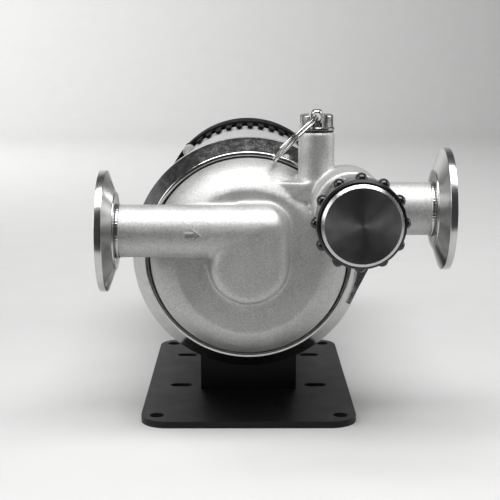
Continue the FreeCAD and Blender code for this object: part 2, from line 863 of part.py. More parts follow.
def valve_bonnet():
    bore = stem_radius + running_clearance
    spigot = bonnet_spigot_radius - running_clearance
    body = at_valve(
        [
            (bore, bonnet_start_y + bonnet_spigot_length),
            (spigot, bonnet_start_y + bonnet_spigot_length),
            (spigot, bonnet_start_y),
            (bonnet_neck_radius, bonnet_start_y),
            (bonnet_neck_radius, bonnet_end_y + 1.0),
            (bonnet_neck_radius - 1.0, bonnet_end_y),
            (bore, bonnet_end_y),
        ]
    )
    hexagon = hexagon_y(bonnet_hex_across, bonnet_hex_end_y, bonnet_start_y, valve_x, valve_z)
    corners = at_valve(
        [
            (0, bonnet_start_y),
            (bonnet_hex_across / 2 + 1.2, bonnet_start_y),
            (bonnet_hex_across / 2 + 1.2, bonnet_hex_end_y + 1.0),
            (bonnet_hex_across / 2 - 0.5, bonnet_hex_end_y),
            (0, bonnet_hex_end_y),
        ]
    )
    hexagon = hexagon.common(corners).cut(rod_y(bore, bonnet_end_y - 1, 0, valve_x, valve_z))
    ring_groove = tube_y(
        spigot + 1, spigot - 1.2, bonnet_start_y + 1.2, bonnet_start_y + 2.8, valve_x, valve_z
    )
    stem_groove = tube_y(bore + 1.5, bore - 1, bonnet_start_y - 2.0, bonnet_start_y, valve_x, valve_z)
    return joined([body, hexagon]).cut([ring_groove, stem_groove])


def ring_at_valve(radius, section, y):
    return Part.makeTorus(radius, section, V(valve_x, y, valve_z), along_y)


def bonnet_oring():
    return ring_at_valve(bonnet_spigot_radius - 0.63, 0.6, bonnet_start_y + 2.0)


def stem_oring():
    return ring_at_valve(stem_radius + 0.8, 0.7, bonnet_start_y - 1.0)


def valve_stem():
    shaft_end = -knob_front_depth + 4.0
    return at_valve(
        [
            (0, plunger_front_y + 3.0),
            (stem_radius - 0.5, plunger_front_y + 3.0),
            (stem_radius, plunger_front_y + 2.4),
            (stem_radius, clip_y + clip_thickness),
            (stem_groove_radius, clip_y + clip_thickness),
            (stem_groove_radius, clip_y - 0.1),
            (stem_radius, clip_y - 0.1),
            (stem_radius, shaft_end),
            (0, shaft_end),
        ]
    )


def valve_plunger():
    radius = valve_chamber_radius - plunger_clearance
    bore = stem_radius + 2 * running_clearance
    body = at_valve(
        [
            (0, plunger_face_y + 1.5),
            (valve_seat_radius - 1.5, plunger_face_y + 1.5),
            (valve_seat_radius - 0.8, plunger_face_y),
            (radius, plunger_face_y),
            (radius, plunger_front_y),
            (bore, plunger_front_y),
            (bore, plunger_front_y + 3.4),
            (0, plunger_front_y + 3.4),
        ]
    )
    face_groove = tube_y(8.8, 6.4, plunger_face_y - 1.6, plunger_face_y + 1, valve_x, valve_z)
    clip_groove = tube_y(
        clip_radius + running_clearance, bore - 0.5, clip_y - 0.1, clip_y + clip_thickness, valve_x, valve_z
    )
    return body.cut([face_groove, clip_groove])


def plunger_oring():
    return ring_at_valve(7.6, 0.85, plunger_face_y - 0.7)


def plunger_clip():
    ring = tube_y(
        clip_radius,
        stem_groove_radius + 2 * running_clearance,
        clip_y,
        clip_y + clip_thickness - 0.1,
        valve_x,
        valve_z,
    )
    gap = block((valve_x - 1.0, valve_x + 1.0), (-90, 0), (valve_z, valve_z + 10))
    return ring.cut(gap)


knob_core_rear_y = -knob_rear_depth - 1.0
knob_hub_radius = 7.5
set_screw_y = -knob_rear_depth - 5.0
set_screw_radius = 2.0


def knob_core():
    # turned aluminium insert: face disc with a bevel, short skirt, hub on the stem
    bore = stem_radius + running_clearance / 5
    front = -knob_front_depth
    web = front + 5.0
    body = at_valve(
        [
            (0, front),
            (knob_face_radius - knob_bevel, front),
            (knob_face_radius, front + 0.8),
            (knob_face_radius, -knob_skirt_rear_depth),
            (knob_face_radius - 2.0, -knob_skirt_rear_depth),
            (knob_face_radius - 2.0, web),
            (knob_hub_radius, web),
            (knob_hub_radius, knob_core_rear_y),
            (bore, knob_core_rear_y),
            (bore, -knob_front_depth + 4.0),
            (0, -knob_front_depth + 4.0),
        ]
    )
    hole = rod_x(set_screw_radius, valve_x + 2.0, valve_x + knob_hub_radius + 1, set_screw_y, valve_z)
    return body.cut(hole)


def knob_set_screw():
    start = valve_x + stem_radius + running_clearance
    screw = rod_x(set_screw_radius, start, start + 6.0, set_screw_y, valve_z)
    socket = rod_x(set_screw_radius / 2, start + 4.0, start + 7.0, set_screw_y, valve_z)
    return screw.cut(socket)


def knob_grip():
    # moulded body: ring round the face disc, short round lobes, cone that narrows to the rear
    rear = -knob_rear_depth
    front = -knob_grip_front_depth
    body = at_valve(
        [
            (0, front),
            (knob_face_radius + 0.6, front),
            (knob_ring_radius - 0.2, front + 0.5),
            (knob_ring_radius, front + 1.6),
            (knob_ring_radius, -knob_lobe_rear_depth + 1.0),
            (knob_rear_radius + 0.8, rear - 0.8),
            (knob_rear_radius, rear),
            (0, rear),
        ]
    )
    lobes = []
    half = (knob_lobe_front_depth - knob_lobe_rear_depth) / 2 - knob_lobe_radius
    middle_y = -(knob_lobe_front_depth + knob_lobe_rear_depth) / 2
    reach = knob_tip_radius - knob_lobe_radius
    for index in range(knob_lobe_count):
        angle = 2 * math.pi * index / knob_lobe_count
        x = valve_x + reach * math.cos(angle)
        z = valve_z + reach * math.sin(angle)
        for end in (-half, half):
            lobes.append(Part.makeSphere(knob_lobe_radius, V(x, middle_y + end, z)))
        lobes.append(rod_y(knob_lobe_radius, middle_y - half, middle_y + half, x, z))
    skirt_bore = rod_y(
        knob_face_radius + running_clearance, front - 1, -knob_skirt_rear_depth + 0.3, valve_x, valve_z
    )
    hub_bore = rod_y(knob_hub_radius + running_clearance, front, rear + 1, valve_x, valve_z)
    access = rod_x(set_screw_radius, valve_x + knob_hub_radius - 1, valve_x + 25, set_screw_y, valve_z)
    return joined([body] + lobes).cut([skirt_bore, hub_bore, access])


vent_base_z = tower_top_z + vent_gasket_thickness
vent_collar_top_z = vent_base_z + vent_collar_height
vent_spigot_end_z = vent_base_z - vent_gasket_thickness - vent_spigot_length
vent_disc_start_z = tower_seat_z + vent_seal_height + 0.05
vent_disc_end_z = vent_disc_start_z + vent_disc_height


def at_tower(profile):
    # solid of revolution about the tower's axis, from (radius, z) pairs
    points = []
    for item in profile:
        if isinstance(item[0], tuple):
            points.append((V(item[0][0], 0, item[0][1]), V(item[1][0], 0, item[1][1])))
        else:
            points.append(V(item[0], 0, item[1]))
    solid = Part.Face(outline(points)).revolve(V(0, 0, 0), along_z, 360)
    solid.translate(V(tower_x, -tower_depth, 0))
    return solid


def vent_body():
    # bleed valve body: threaded spigot, collar and castellated crown
    bore = vent_stem_radius + running_clearance
    body = at_tower(
        [
            (bore, vent_spigot_end_z),
            (tower_bore_radius - running_clearance, vent_spigot_end_z),
            (tower_bore_radius - running_clearance, vent_base_z),
            (vent_collar_radius - 0.3, vent_base_z),
            (vent_collar_radius, vent_base_z + 0.3),
            (vent_collar_radius, vent_collar_top_z - 0.4),
            (vent_crown_radius, vent_collar_top_z),
            (vent_crown_radius, vent_collar_top_z + vent_crown_height - 0.9),
            ((vent_crown_radius - 0.2, vent_collar_top_z + vent_crown_height - 0.3),
             (vent_crown_radius - 0.8, vent_collar_top_z + vent_crown_height)),
            (vent_crown_inner_radius, vent_collar_top_z + vent_crown_height),
            (vent_crown_inner_radius, vent_collar_top_z),
            (bore, vent_collar_top_z),
        ]
    )
    top = vent_collar_top_z + vent_crown_height + 1
    half = vent_slot_width / 2
    wide = block(
        (tower_x - half, tower_x + half), (-tower_depth - 9, -tower_depth + 9), (vent_collar_top_z, top)
    )
    narrow = block(
        (tower_x - 9, tower_x + 9), (-tower_depth - 1.8, -tower_depth + 1.8), (vent_collar_top_z + 1.6, top)
    )
    return body.cut([wide, narrow])


def vent_gasket():
    return tube_z(
        vent_collar_radius - 0.3,
        tower_bore_radius + running_clearance,
        tower_top_z,
        vent_base_z,
        tower_x,
        -tower_depth,
    )


def vent_stem():
    top = vent_stem_top_z
    body = at_tower(
        [
            (0, vent_disc_start_z),
            (vent_disc_radius, vent_disc_start_z),
            (vent_disc_radius, vent_disc_end_z),
            (vent_stem_radius, vent_disc_end_z),
            (vent_stem_radius, top - 1.6),
            ((vent_stem_radius - 0.6, top - 0.4), (vent_stem_radius - 1.5, top)),
            (0, top),
        ]
    )
    hole = rod_y(pull_hole_radius, -tower_depth - 5, -tower_depth + 5, tower_x, pull_hole_z)
    return body.cut(hole)


def vent_seal():
    return at_tower(
        [
            (0, tower_seat_z),
            (vent_disc_radius - 0.3, tower_seat_z),
            (vent_disc_radius - 0.3, tower_seat_z + vent_seal_height),
            (0, tower_seat_z + vent_seal_height),
        ]
    )


def coil(radius, pitch, turns, wire_radius):
    # helical wire about Z from z = 0, swept half a turn at a time
    start = V(radius, 0, 0)
    along_wire = V(0, 2 * math.pi * radius, pitch)
    pieces = []
    done = 0.0
    while turns - done > 1e-6:
        share = min(0.5, turns - done)
        section = Part.Wire(Part.makeCircle(wire_radius, start, along_wire))
        helix = Part.Wire(Part.makeHelix(pitch, pitch * share, radius))
        piece = helix.makePipeShell([section], True, True)
        piece.rotate(V(0, 0, 0), along_z, 360 * done)
        piece.translate(V(0, 0, pitch * done))
        pieces.append(piece)
        done += share
    return pieces[0].fuse(pieces[1:])


def vent_spring():
    # helical return spring between the stem's disc and the spigot
    low = vent_disc_end_z + spring_wire_radius + 0.1
    high = vent_spigot_end_z - spring_wire_radius - 0.1
    coil_radius = (vent_stem_radius + tower_bore_radius) / 2
    spring = coil(coil_radius, (high - low) / spring_turns, spring_turns, spring_wire_radius)
    spring.translate(V(tower_x, -tower_depth, low))
    return spring


def vent_pull_ring():
    # split ring of two turns through the stem's hole, leaning down beside the tower
    ring = coil(pull_ring_radius, pull_ring_pitch, pull_ring_turns, pull_wire_radius)
    middle = pull_ring_pitch * (pull_ring_start / 360 + 0.5)
    ring.rotate(V(0, 0, 0), along_z, -pull_ring_start)
    ring.translate(V(-pull_ring_radius, 0, -middle))
    ring.rotate(V(0, 0, 0), along_x, pull_ring_tilt)
    ring.rotate(V(0, 0, 0), along_y, -pull_ring_drop)
    ring.translate(V(tower_x, -tower_depth, pull_hole_z))
    return ring


def head_oring():
    middle = (oring_groove_inner + oring_groove_outer) / 2
    return Part.makeTorus(middle, oring_section_radius, V(0, -oring_section_radius - 0.05, 0), along_y)


can_end_y = can_depth
shaft_socket_length = 6.0
shaft_socket_radius = 6.0


def containment_can():
    bore = impeller_shaft_radius + running_clearance / 5
    inner = can_bore_radius
    outer = inner + can_wall
    return turned(
        [
            (inner, 0),
            (can_flange_radius, 0),
            (can_flange_radius, can_flange_thickness),
            (outer, can_flange_thickness),
            (outer, can_end_y + 1.5),
            (0, can_end_y + 1.5),
            (0, can_end_y),
            (bore, can_end_y),
            (bore, can_end_y - shaft_socket_length),
            (shaft_socket_radius, can_end_y - shaft_socket_length),
            (shaft_socket_radius, can_end_y),
            (inner, can_end_y),
        ]
    )


impeller_disc_front = impeller_disc_rear + impeller_disc_thickness
impeller_front_y = -impeller_disc_front - impeller_blade_height
magnet_start_y = -impeller_disc_rear + 0.5
magnet_end_y = magnet_start_y + magnet_ring_length - 2.0
rotor_rear_y = magnet_end_y + 0.5


def impeller_shaft():
    shaft = rod_y(impeller_shaft_radius, impeller_front_y - 4.0, can_end_y)
    head = rod_y(impeller_shaft_radius + 1.5, impeller_front_y - 5.0, impeller_front_y - 3.0)
    return shaft.fuse(head).removeSplitter()


def impeller():
    # open impeller with back-swept blades, and the sleeve that carries the magnet ring into the can
    bush_hole = bush_radius + running_clearance / 5
    disc = turned(
        [
            (bush_hole, rotor_rear_y),
            (impeller_hub_radius, rotor_rear_y),
            (impeller_hub_radius, -impeller_disc_rear),
            (impeller_radius, -impeller_disc_rear),
            (impeller_radius, -impeller_disc_rear - 1.6),
            (impeller_hub_radius + 6.0, -impeller_disc_front),
            (impeller_hub_radius, -impeller_disc_front - 3.0),
            (impeller_hub_radius - 1.5, impeller_front_y),
            (bush_hole, impeller_front_y),
        ]
    )
    thickness = impeller_blade_thickness
    start = V(impeller_hub_radius - 1.5, 0, 0)
    middle = V(impeller_radius * 0.72, 0, 9.0)
    end = V(impeller_radius * 0.80, 0, impeller_radius * 0.55)
    shift = V(thickness * 0.5, 0, -thickness * 0.9)
    points = [start, (middle, end), end + shift, (middle + shift, start + shift)]
    blade = Part.Face(outline(points)).extrude(V(0, -impeller_blade_height + 1.0, 0))
    blade.translate(V(0, -impeller_disc_front + 0.9, 0))
    taper = turned(
        [
            (impeller_hub_radius - 2, 0),
            (impeller_radius, 0),
            (impeller_radius, -impeller_disc_front - 5.0),
            (impeller_hub_radius + 4, impeller_front_y),
            (impeller_hub_radius - 2, impeller_front_y),
        ]
    )
    blades = [copy.common(taper) for copy in spun(blade, impeller_blade_count)]
    return joined([disc] + blades)


def impeller_bush():
    return tube_y(bush_radius, impeller_shaft_radius + running_clearance, impeller_front_y, rotor_rear_y)


def impeller_magnet():
    return tube_y(
        magnet_ring_radius, impeller_hub_radius + running_clearance / 5, magnet_start_y, magnet_end_y
    )


def thrust_washer(y_start, radius):
    bore = impeller_shaft_radius + 2 * running_clearance
    return tube_y(radius, bore, y_start, y_start + thrust_washer_thickness)


def front_thrust_washer():
    return thrust_washer(impeller_front_y - 0.2 - thrust_washer_thickness, bush_radius)


def rear_thrust_washer():
    return thrust_washer(rotor_rear_y + 0.2, shaft_socket_radius)


front_bearing_y = adapter_length - 1.0 - bearing_width
drive_cup_start_y = 5.0
drive_cup_web_y = can_end_y + 3.5
drive_cup_end_y = drive_cup_web_y + 4.0
drive_hub_end_y = front_bearing_y - 1.0
rear_bearing_y = shell_end_y - 12.0


def motor_adapter():
    # front end of the motor: clamp flange, recess for the can, room for the drive cup, bearing seat
    recess = can_flange_radius + running_clearance
    inner = adapter_radius - adapter_wall - 6.0
    seat = bearing_radius + running_clearance / 5
    screw_radius = motor_screw_radius + running_clearance
    screw_hole = rod_z(screw_radius, -adapter_radius - 1, -inner - 3.0, 0, motor_screw_ys[0])
    seat_wall = seat + 4.0
    web = front_bearing_y + bearing_width
    body = turned(
        [
            (inner, can_flange_thickness),
            (recess, can_flange_thickness),
            (recess, 0),
            (flange_radius, 0),
            (flange_radius, flange_rim),
            (neck_radius, flange_depth(neck_radius)),
            (neck_radius, neck_length + 1.0),
            (adapter_radius, neck_length + 4.0),
            (adapter_radius, adapter_length),
            (bearing_radius - 4.0, adapter_length),
            (bearing_radius - 4.0, web),
            (seat, web),
            (seat, front_bearing_y),
            (seat_wall, front_bearing_y),
            (seat_wall, adapter_length - 5.0),
            (inner, adapter_length - 9.0),
        ]
    )
    return body.cut(screw_hole)


def drive_hub():
    cup = turned(
        [
            (motor_shaft_radius + running_clearance / 5, drive_cup_web_y),
            (drive_cup_inner_radius, drive_cup_web_y),
            (drive_cup_inner_radius, drive_cup_start_y),
            (drive_cup_radius, drive_cup_start_y),
            (drive_cup_radius, drive_cup_end_y),
            (11.0, drive_cup_end_y),
            (11.0, drive_hub_end_y),
            (motor_shaft_radius + running_clearance / 5, drive_hub_end_y),
        ]
    )
    hole_y = (drive_cup_end_y + drive_hub_end_y) / 2
    return cup.cut(rod_z(1.6, 0, drive_cup_radius, 0, hole_y))


def hub_set_screw():
    hole_y = (drive_cup_end_y + drive_hub_end_y) / 2
    return rod_z(1.6, motor_shaft_radius + running_clearance, 10.8, 0, hole_y)


def drive_magnets():
    ring = tube_y(
        drive_cup_inner_radius - running_clearance / 5,
        drive_cup_inner_radius - drive_magnet_thickness,
        drive_cup_start_y + 1.0,
        can_end_y,
    )
    half = math.pi / drive_magnet_count * 0.88
    reach = drive_cup_radius * 1.5
    wedge = Part.Face(
        outline(
            [
                V(0, 0, 0),
                V(reach * math.cos(-half), 0, reach * math.sin(-half)),
                V(reach * math.cos(half), 0, reach * math.sin(half)),
            ]
        )
    ).extrude(V(0, adapter_length, 0))
    return Part.makeCompound([ring.common(copy) for copy in spun(wedge, drive_magnet_count)])


def motor_shaft():
    return turned(
        [
            (0, drive_cup_web_y),
            (motor_shaft_radius, drive_cup_web_y),
            (motor_shaft_radius, front_bearing_y + bearing_width),
            (motor_shaft_radius + 1.5, front_bearing_y + bearing_width + 1.0),
            (motor_shaft_radius + 1.5, rear_bearing_y - 1.0),
            (motor_shaft_radius, rear_bearing_y),
            (motor_shaft_radius, fan_start_y + fan_width - 2.0),
            (motor_shaft_radius - 1.0, fan_start_y + fan_width - 1.0),
            (0, fan_start_y + fan_width - 1.0),
        ]
    )


def bearing(y_start):
    # sealed ball bearing as one turned ring with its shield recesses
    inner = motor_shaft_radius + running_clearance
    end = y_start + bearing_width
    return turned(
        [
            (inner, y_start),
            (inner + 2.5, y_start),
            (inner + 2.5, y_start + 0.5),
            (bearing_radius - 2.5, y_start + 0.5),
            (bearing_radius - 2.5, y_start),
            (bearing_radius, y_start),
            (bearing_radius, end),
            (bearing_radius - 2.5, end),
            (bearing_radius - 2.5, end - 0.5),
            (inner + 2.5, end - 0.5),
            (inner + 2.5, end),
            (inner, end),
        ]
    )


def front_bearing():
    return bearing(front_bearing_y)


def rear_bearing():
    return bearing(rear_bearing_y)


stack_end_y = stack_start_y + stack_length


def rotor_core():
    return tube_y(
        stator_bore_radius - air_gap,
        motor_shaft_radius + 1.5 + running_clearance / 5,
        stack_start_y,
        stack_end_y,
    )


def stator_stack():
    ring = tube_y(
        shell_radius - shell_wall - running_clearance / 5, stator_bore_radius, stack_start_y, stack_end_y
    )
    return ring


def stator_windings():
    coils = []
    for start, end in (
        (stack_start_y - winding_overhang, stack_start_y),
        (stack_end_y, stack_end_y + winding_overhang),
    ):
        coil = tube_y(shell_radius - shell_wall - 6.0, stator_bore_radius + 3.0, start, end)
        outer = [e for e in coil.Edges if e.BoundBox.XLength > 2 * stator_bore_radius + 10]
        free_end = start if start < stack_start_y else end
        rim = [e for e in outer if abs(e.BoundBox.YMin - free_end) < 0.01 and e.BoundBox.YLength < 0.01]
        coils.append(coil.makeFillet(2.5, rim))
    return Part.makeCompound(coils)


def ear_rods(radius, y_start, y_end):
    rod = rod_y(radius, y_start, y_end, ear_boss_ring_radius, 0)
    return spun(rod, 4, 45.0)


def motor_shell():
    tube = tube_y(shell_radius, shell_radius - shell_wall, adapter_length, shell_end_y)
    ears = ear_rods(ear_boss_radius, ear_end_y - ear_boss_length, ear_end_y)
    keep_out = rod_y(shell_radius - shell_wall, adapter_length - 1, shell_end_y + 1)
    ears = [ear.cut(keep_out) for ear in ears]
    shell = joined([tube] + ears)
    cable_way = rod_x(gland_bore_radius + 1.2, -shell_radius - 1, -shell_radius / 2, gland_y, gland_z)
    screw_holes = ear_rods(cowl_screw_radius, ear_end_y - ear_boss_length - 1, shell_end_y + 1)
    screw_radius = motor_screw_radius + running_clearance
    bottom_hole = rod_z(screw_radius, -shell_radius - 1, -30, 0, motor_screw_ys[1])
    return shell.cut([cable_way, bottom_hole] + screw_holes)


def cable_gland():
    # cable entry with a dome nut; its bore is open for a cord
    root = -math.sqrt(shell_radius**2 - gland_z**2) + 2.2
    end = root - gland_length
    body = rod_x(gland_bore_radius + 1.15, end, root, gland_y, gland_z)
    flange = rod_x(8.0, root - 4.6, root, gland_y, gland_z)
    nut = rod_x(6.8, end + 3.0, root - 5.4, gland_y, gland_z)
    dome = Part.makeCone(6.8, 5.2, 2.0, V(end + 3.0, gland_y, gland_z), V(-1, 0, 0))
    motor = rod_y(shell_radius + running_clearance, gland_y - 15, gland_y + 15)
    outside = joined([flange, nut, dome]).cut(motor)
    return joined([body, outside]).cut(rod_x(gland_bore_radius, end - 1, root + 1, gland_y, gland_z))


def rear_end_bell():
    seat = bearing_radius + running_clearance / 5
    rim = shell_radius - shell_wall - running_clearance / 5
    start = rear_bearing_y - 1.0
    return turned(
        [
            (seat, start + 1.0),
            (seat, rear_bearing_y + bearing_width),
            (bearing_radius - 4.0, rear_bearing_y + bearing_width),
            (bearing_radius - 4.0, rear_bearing_y + bearing_width + 2.0),
            (seat + 3.0, rear_bearing_y + bearing_width + 2.0),
            (seat + 4.5, shell_end_y - 3.5),
            (rim, shell_end_y - 3.5),
            (rim, shell_end_y - 7.0),
            (seat + 4.0, shell_end_y - 7.0),
            (seat + 4.0, start + 1.0),
        ]
    )


def cooling_fan():
    # radial fan: hub, disc and flat blades
    hub = tube_y(11.0, motor_shaft_radius + running_clearance / 5, fan_start_y, fan_start_y + fan_width)
    disc = tube_y(fan_radius, motor_shaft_radius + running_clearance / 5, fan_start_y, fan_start_y + 2.0)
    blade = block((9.0, fan_radius - 1.0), (fan_start_y + 1.0, fan_start_y + fan_width), (-1.0, 1.0))
    return joined([hub, disc] + spun(blade, fan_blade_count))


def cowl_teeth():
    # round-nosed fingers that reach forward over the shell and leave the air gaps between them
    half = cowl_tooth_width / 2
    inner = shell_radius + clamp_clearance
    outer = inner + cowl_tooth_height
    points = [
        V(-half, cowl_tooth_start_y, outer),
        V(-half, cowl_tooth_start_y, inner + half * 0.6),
        (V(0, cowl_tooth_start_y, inner), V(half, cowl_tooth_start_y, inner + half * 0.6)),
        V(half, cowl_tooth_start_y, outer),
    ]
    tooth = Part.Face(outline(points)).extrude(V(0, cowl_front_y + 3.0 - cowl_tooth_start_y, 0))
    teeth = []
    spare_angle = math.degrees((ear_boss_radius + half + clamp_clearance) / inner)
    for index, copy in enumerate(spun(tooth, cowl_tooth_count, cowl_tooth_turn)):
        turn = cowl_tooth_turn + index * 360.0 / cowl_tooth_count
        from_ear = abs(turn % 90.0 - 45.0)
        if from_ear > spare_angle:
            teeth.append(copy)
    return teeth


def rear_cowl():
    inner = cowl_radius - cowl_wall
    end = cowl_end_y
    rounding = 9.0
    turn = rounding * (1 - math.sqrt(0.5))
    cup = turned(
        [
            (inner, cowl_front_y),
            (cowl_radius - 0.5, cowl_front_y),
            (cowl_radius, cowl_front_y + 0.8),
            (cowl_radius, end - rounding),
            ((cowl_radius - turn, end - turn), (cowl_radius - rounding, end)),
            (0, end),
            (0, end - cowl_wall),
            (cowl_radius - rounding, end - cowl_wall),
            ((inner - turn + 0.6, end - turn - 1.4), (inner, end - rounding)),
        ]
    )
    keep_out = rod_y(shell_radius + clamp_clearance, ear_end_y, shell_end_y + clamp_clearance)
    lugs = [lug.cut(keep_out) for lug in ear_rods(ear_boss_radius, ear_end_y + 0.3, cowl_front_y + 8.0)]
    slot = block((11.0, cowl_radius - rounding - 1.0), (end - 5, end + 2), (-1.5, 1.5))
    body = joined([cup] + lugs + cowl_teeth())
    holes = ear_rods(cowl_screw_radius, ear_end_y, cowl_front_y + 5.0)
    return body.cut(spun(slot, cowl_slot_count) + holes)


def cowl_screws():
    screws = []
    head_end = ear_end_y - ear_boss_length
    rods = ear_rods(cowl_screw_radius, head_end, cowl_front_y + 4.0)
    heads = ear_rods(cowl_screw_radius * 1.8, head_end - 1.8, head_end)
    for rod, head in zip(rods, heads):
        screws.append(rod.fuse(head).removeSplitter())
    outside = rod_y(shell_radius + 0.1, head_end - 5, head_end)
    return Part.makeCompound([screw.cut(outside) for screw in screws])


nodes = [
    base_plate,
    motor_saddle,
    saddle_screws,
    motor_screws,
    head_casting,
    inlet_ferrule,
    outlet_ferrule,
    head_oring,
    containment_can,
    impeller_shaft,
    front_thrust_washer,
    rear_thrust_washer,
    impeller,
    impeller_bush,
    impeller_magnet,
    drive_hub,
    drive_magnets,
    hub_set_screw,
    motor_adapter,
    motor_shaft,
    front_bearing,
    rear_bearing,
    rotor_core,
    stator_stack,
    stator_windings,
    motor_shell,
    rear_end_bell,
    cooling_fan,
    rear_cowl,
    cowl_screws,
    cable_gland,
    clamp_lower_half,
    clamp_upper_half,
    clamp_hinge_pin,
    clamp_bolt,
    clamp_bolt_pin,
    clamp_washer,
    clamp_wing_nut,
    valve_bonnet,
    bonnet_oring,
    stem_oring,
    valve_stem,
    valve_plunger,
    plunger_oring,
    plunger_clip,
    knob_core,
    knob_grip,
    knob_set_screw,
    vent_body,
    vent_gasket,
    vent_stem,
    vent_seal,
    vent_spring,
    vent_pull_ring,
]

os.makedirs("parts", exist_ok=True)
to_base = V(0, -clamp_plane_to_plate_middle, shaft_height)
for make in nodes:
    shape = make()
    shape.translate(to_base)
    shape.exportStep("parts/" + make.__name__ + ".step")
    facts = (make.__name__, len(shape.Solids), shape.isValid(), shape.Volume)
    print("%-20s solids %2d  valid %s  volume %9.1f" % facts)
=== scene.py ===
import json
import math

import bpy
from mathutils import Matrix, Quaternion, Vector

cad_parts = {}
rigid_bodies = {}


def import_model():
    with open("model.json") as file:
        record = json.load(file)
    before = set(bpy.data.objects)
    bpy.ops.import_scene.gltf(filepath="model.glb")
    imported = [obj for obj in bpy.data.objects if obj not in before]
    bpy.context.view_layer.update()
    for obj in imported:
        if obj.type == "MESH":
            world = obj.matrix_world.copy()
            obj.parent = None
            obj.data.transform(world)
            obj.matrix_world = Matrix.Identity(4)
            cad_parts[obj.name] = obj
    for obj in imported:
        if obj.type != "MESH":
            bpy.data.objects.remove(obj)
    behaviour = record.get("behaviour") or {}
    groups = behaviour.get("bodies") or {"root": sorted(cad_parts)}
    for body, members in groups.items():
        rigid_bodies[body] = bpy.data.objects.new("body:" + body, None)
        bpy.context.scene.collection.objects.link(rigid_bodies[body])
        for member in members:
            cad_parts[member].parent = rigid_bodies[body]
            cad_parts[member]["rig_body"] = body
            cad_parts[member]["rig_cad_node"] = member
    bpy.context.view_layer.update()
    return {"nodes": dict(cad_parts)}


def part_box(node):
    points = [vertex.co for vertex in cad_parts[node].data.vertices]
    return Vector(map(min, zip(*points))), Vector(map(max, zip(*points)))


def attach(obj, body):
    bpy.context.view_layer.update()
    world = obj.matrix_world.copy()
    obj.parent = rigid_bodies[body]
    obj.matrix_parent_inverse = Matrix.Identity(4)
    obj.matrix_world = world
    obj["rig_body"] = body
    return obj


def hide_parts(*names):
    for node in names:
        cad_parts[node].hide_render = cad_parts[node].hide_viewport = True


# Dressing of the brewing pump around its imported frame. Metres, +Z up, the wet head faces -Y.
# Sizes in the dictionaries are in millimetres, from the pump shaft (x, z) and the clamp plane (y).
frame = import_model()
nodes = frame["nodes"]
mm = 0.001
pumpOrigin = Vector((0.0, -46.5, 73.0)) * mm
print("frame loaded:", len(nodes), "nodes")


def place(x, y, z):
    # a point given from the pump axis and clamp plane, as the frame has it
    return pumpOrigin + Vector((x, y, z)) * mm


def clearSelection():
    if bpy.context.object and bpy.context.object.mode != "OBJECT":
        bpy.ops.object.mode_set(mode="OBJECT")
    bpy.ops.object.select_all(action="DESELECT")


def pick(piece):
    clearSelection()
    piece.select_set(True)
    bpy.context.view_layer.objects.active = piece


def applyModifiers(piece):
    pick(piece)
    for modifier in list(piece.modifiers):
        bpy.ops.object.modifier_apply(modifier=modifier.name)


def freeze(piece):
    # the place goes into the mesh, and the object sits at the origin
    pick(piece)
    bpy.ops.object.transform_apply(location=True, rotation=True, scale=True)


def cleanShell(piece, distance=1e-6):
    pick(piece)
    bpy.ops.object.mode_set(mode="EDIT")
    bpy.ops.mesh.select_all(action="SELECT")
    bpy.ops.mesh.remove_doubles(threshold=distance)
    bpy.ops.mesh.normals_make_consistent(inside=False)
    bpy.ops.object.mode_set(mode="OBJECT")


def smoothByAngle(piece, degrees=32):
    pick(piece)
    bpy.ops.object.shade_smooth_by_angle(angle=math.radians(degrees))


def copyOfNode(nodeName, newName):
    # an own mesh with the CAD solid's shape, with its loose triangles merged
    source = nodes[nodeName]
    piece = source.copy()
    piece.data = source.data.copy()
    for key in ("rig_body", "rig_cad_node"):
        if key in piece:
            del piece[key]
    piece.parent = None
    piece.name = newName
    piece.data.name = newName
    bpy.context.scene.collection.objects.link(piece)
    pick(piece)
    if piece.data.has_custom_normals:
        bpy.ops.mesh.customdata_custom_splitnormals_clear()
    bpy.ops.object.mode_set(mode="EDIT")
    bpy.ops.mesh.select_all(action="SELECT")
    bpy.ops.mesh.remove_doubles(threshold=1e-6)
    bpy.ops.object.mode_set(mode="OBJECT")
    return piece


def turned(name, profile, steps=160, axis=(1, 0, 0), start=0.0, sweep=360.0):
    # (radius, place along the axis) pairs in millimetres, drawn point by point and spun about the axis
    along = Vector(axis)
    across = Vector((0, 0, 1)) if abs(along.z) < 0.5 else Vector((1, 0, 0))
    across = Quaternion(along, math.radians(start)) @ across
    points = [(across * radius + along * station) * mm for radius, station in profile]
    clearSelection()
    bpy.ops.mesh.primitive_plane_add(size=0.001, location=points[0])
    piece = bpy.context.object
    piece.name = name
    piece.data.name = name
    freeze(piece)
    bpy.ops.object.mode_set(mode="EDIT")
    bpy.ops.mesh.select_all(action="SELECT")
    bpy.ops.mesh.merge(type="CENTER")
    for before, after in zip(points, points[1:] + points[:1]):
        bpy.ops.mesh.extrude_region_move(TRANSFORM_OT_translate={"value": after - before})
    bpy.ops.mesh.select_all(action="SELECT")
    bpy.ops.mesh.remove_doubles(threshold=1e-6)
    bpy.ops.mesh.select_all(action="SELECT")
    bpy.ops.mesh.spin(steps=steps, angle=-math.radians(sweep), center=(0, 0, 0), axis=axis)
    if sweep < 360:
        bpy.ops.mesh.select_all(action="SELECT")
        bpy.ops.mesh.remove_doubles(threshold=1e-6)
        bpy.ops.mesh.select_all(action="DESELECT")
        bpy.ops.mesh.select_non_manifold()
        bpy.ops.mesh.fill_holes(sides=0)
    bpy.ops.object.mode_set(mode="OBJECT")
    cleanShell(piece)
    return piece


def combine(piece, other, operation):
    # one closed shell from two, and the second is gone
    boolean = piece.modifiers.new("boolean", "BOOLEAN")
    boolean.operation = operation
    boolean.solver = "EXACT"
    boolean.object = other
    applyModifiers(piece)
    bpy.data.objects.remove(other)


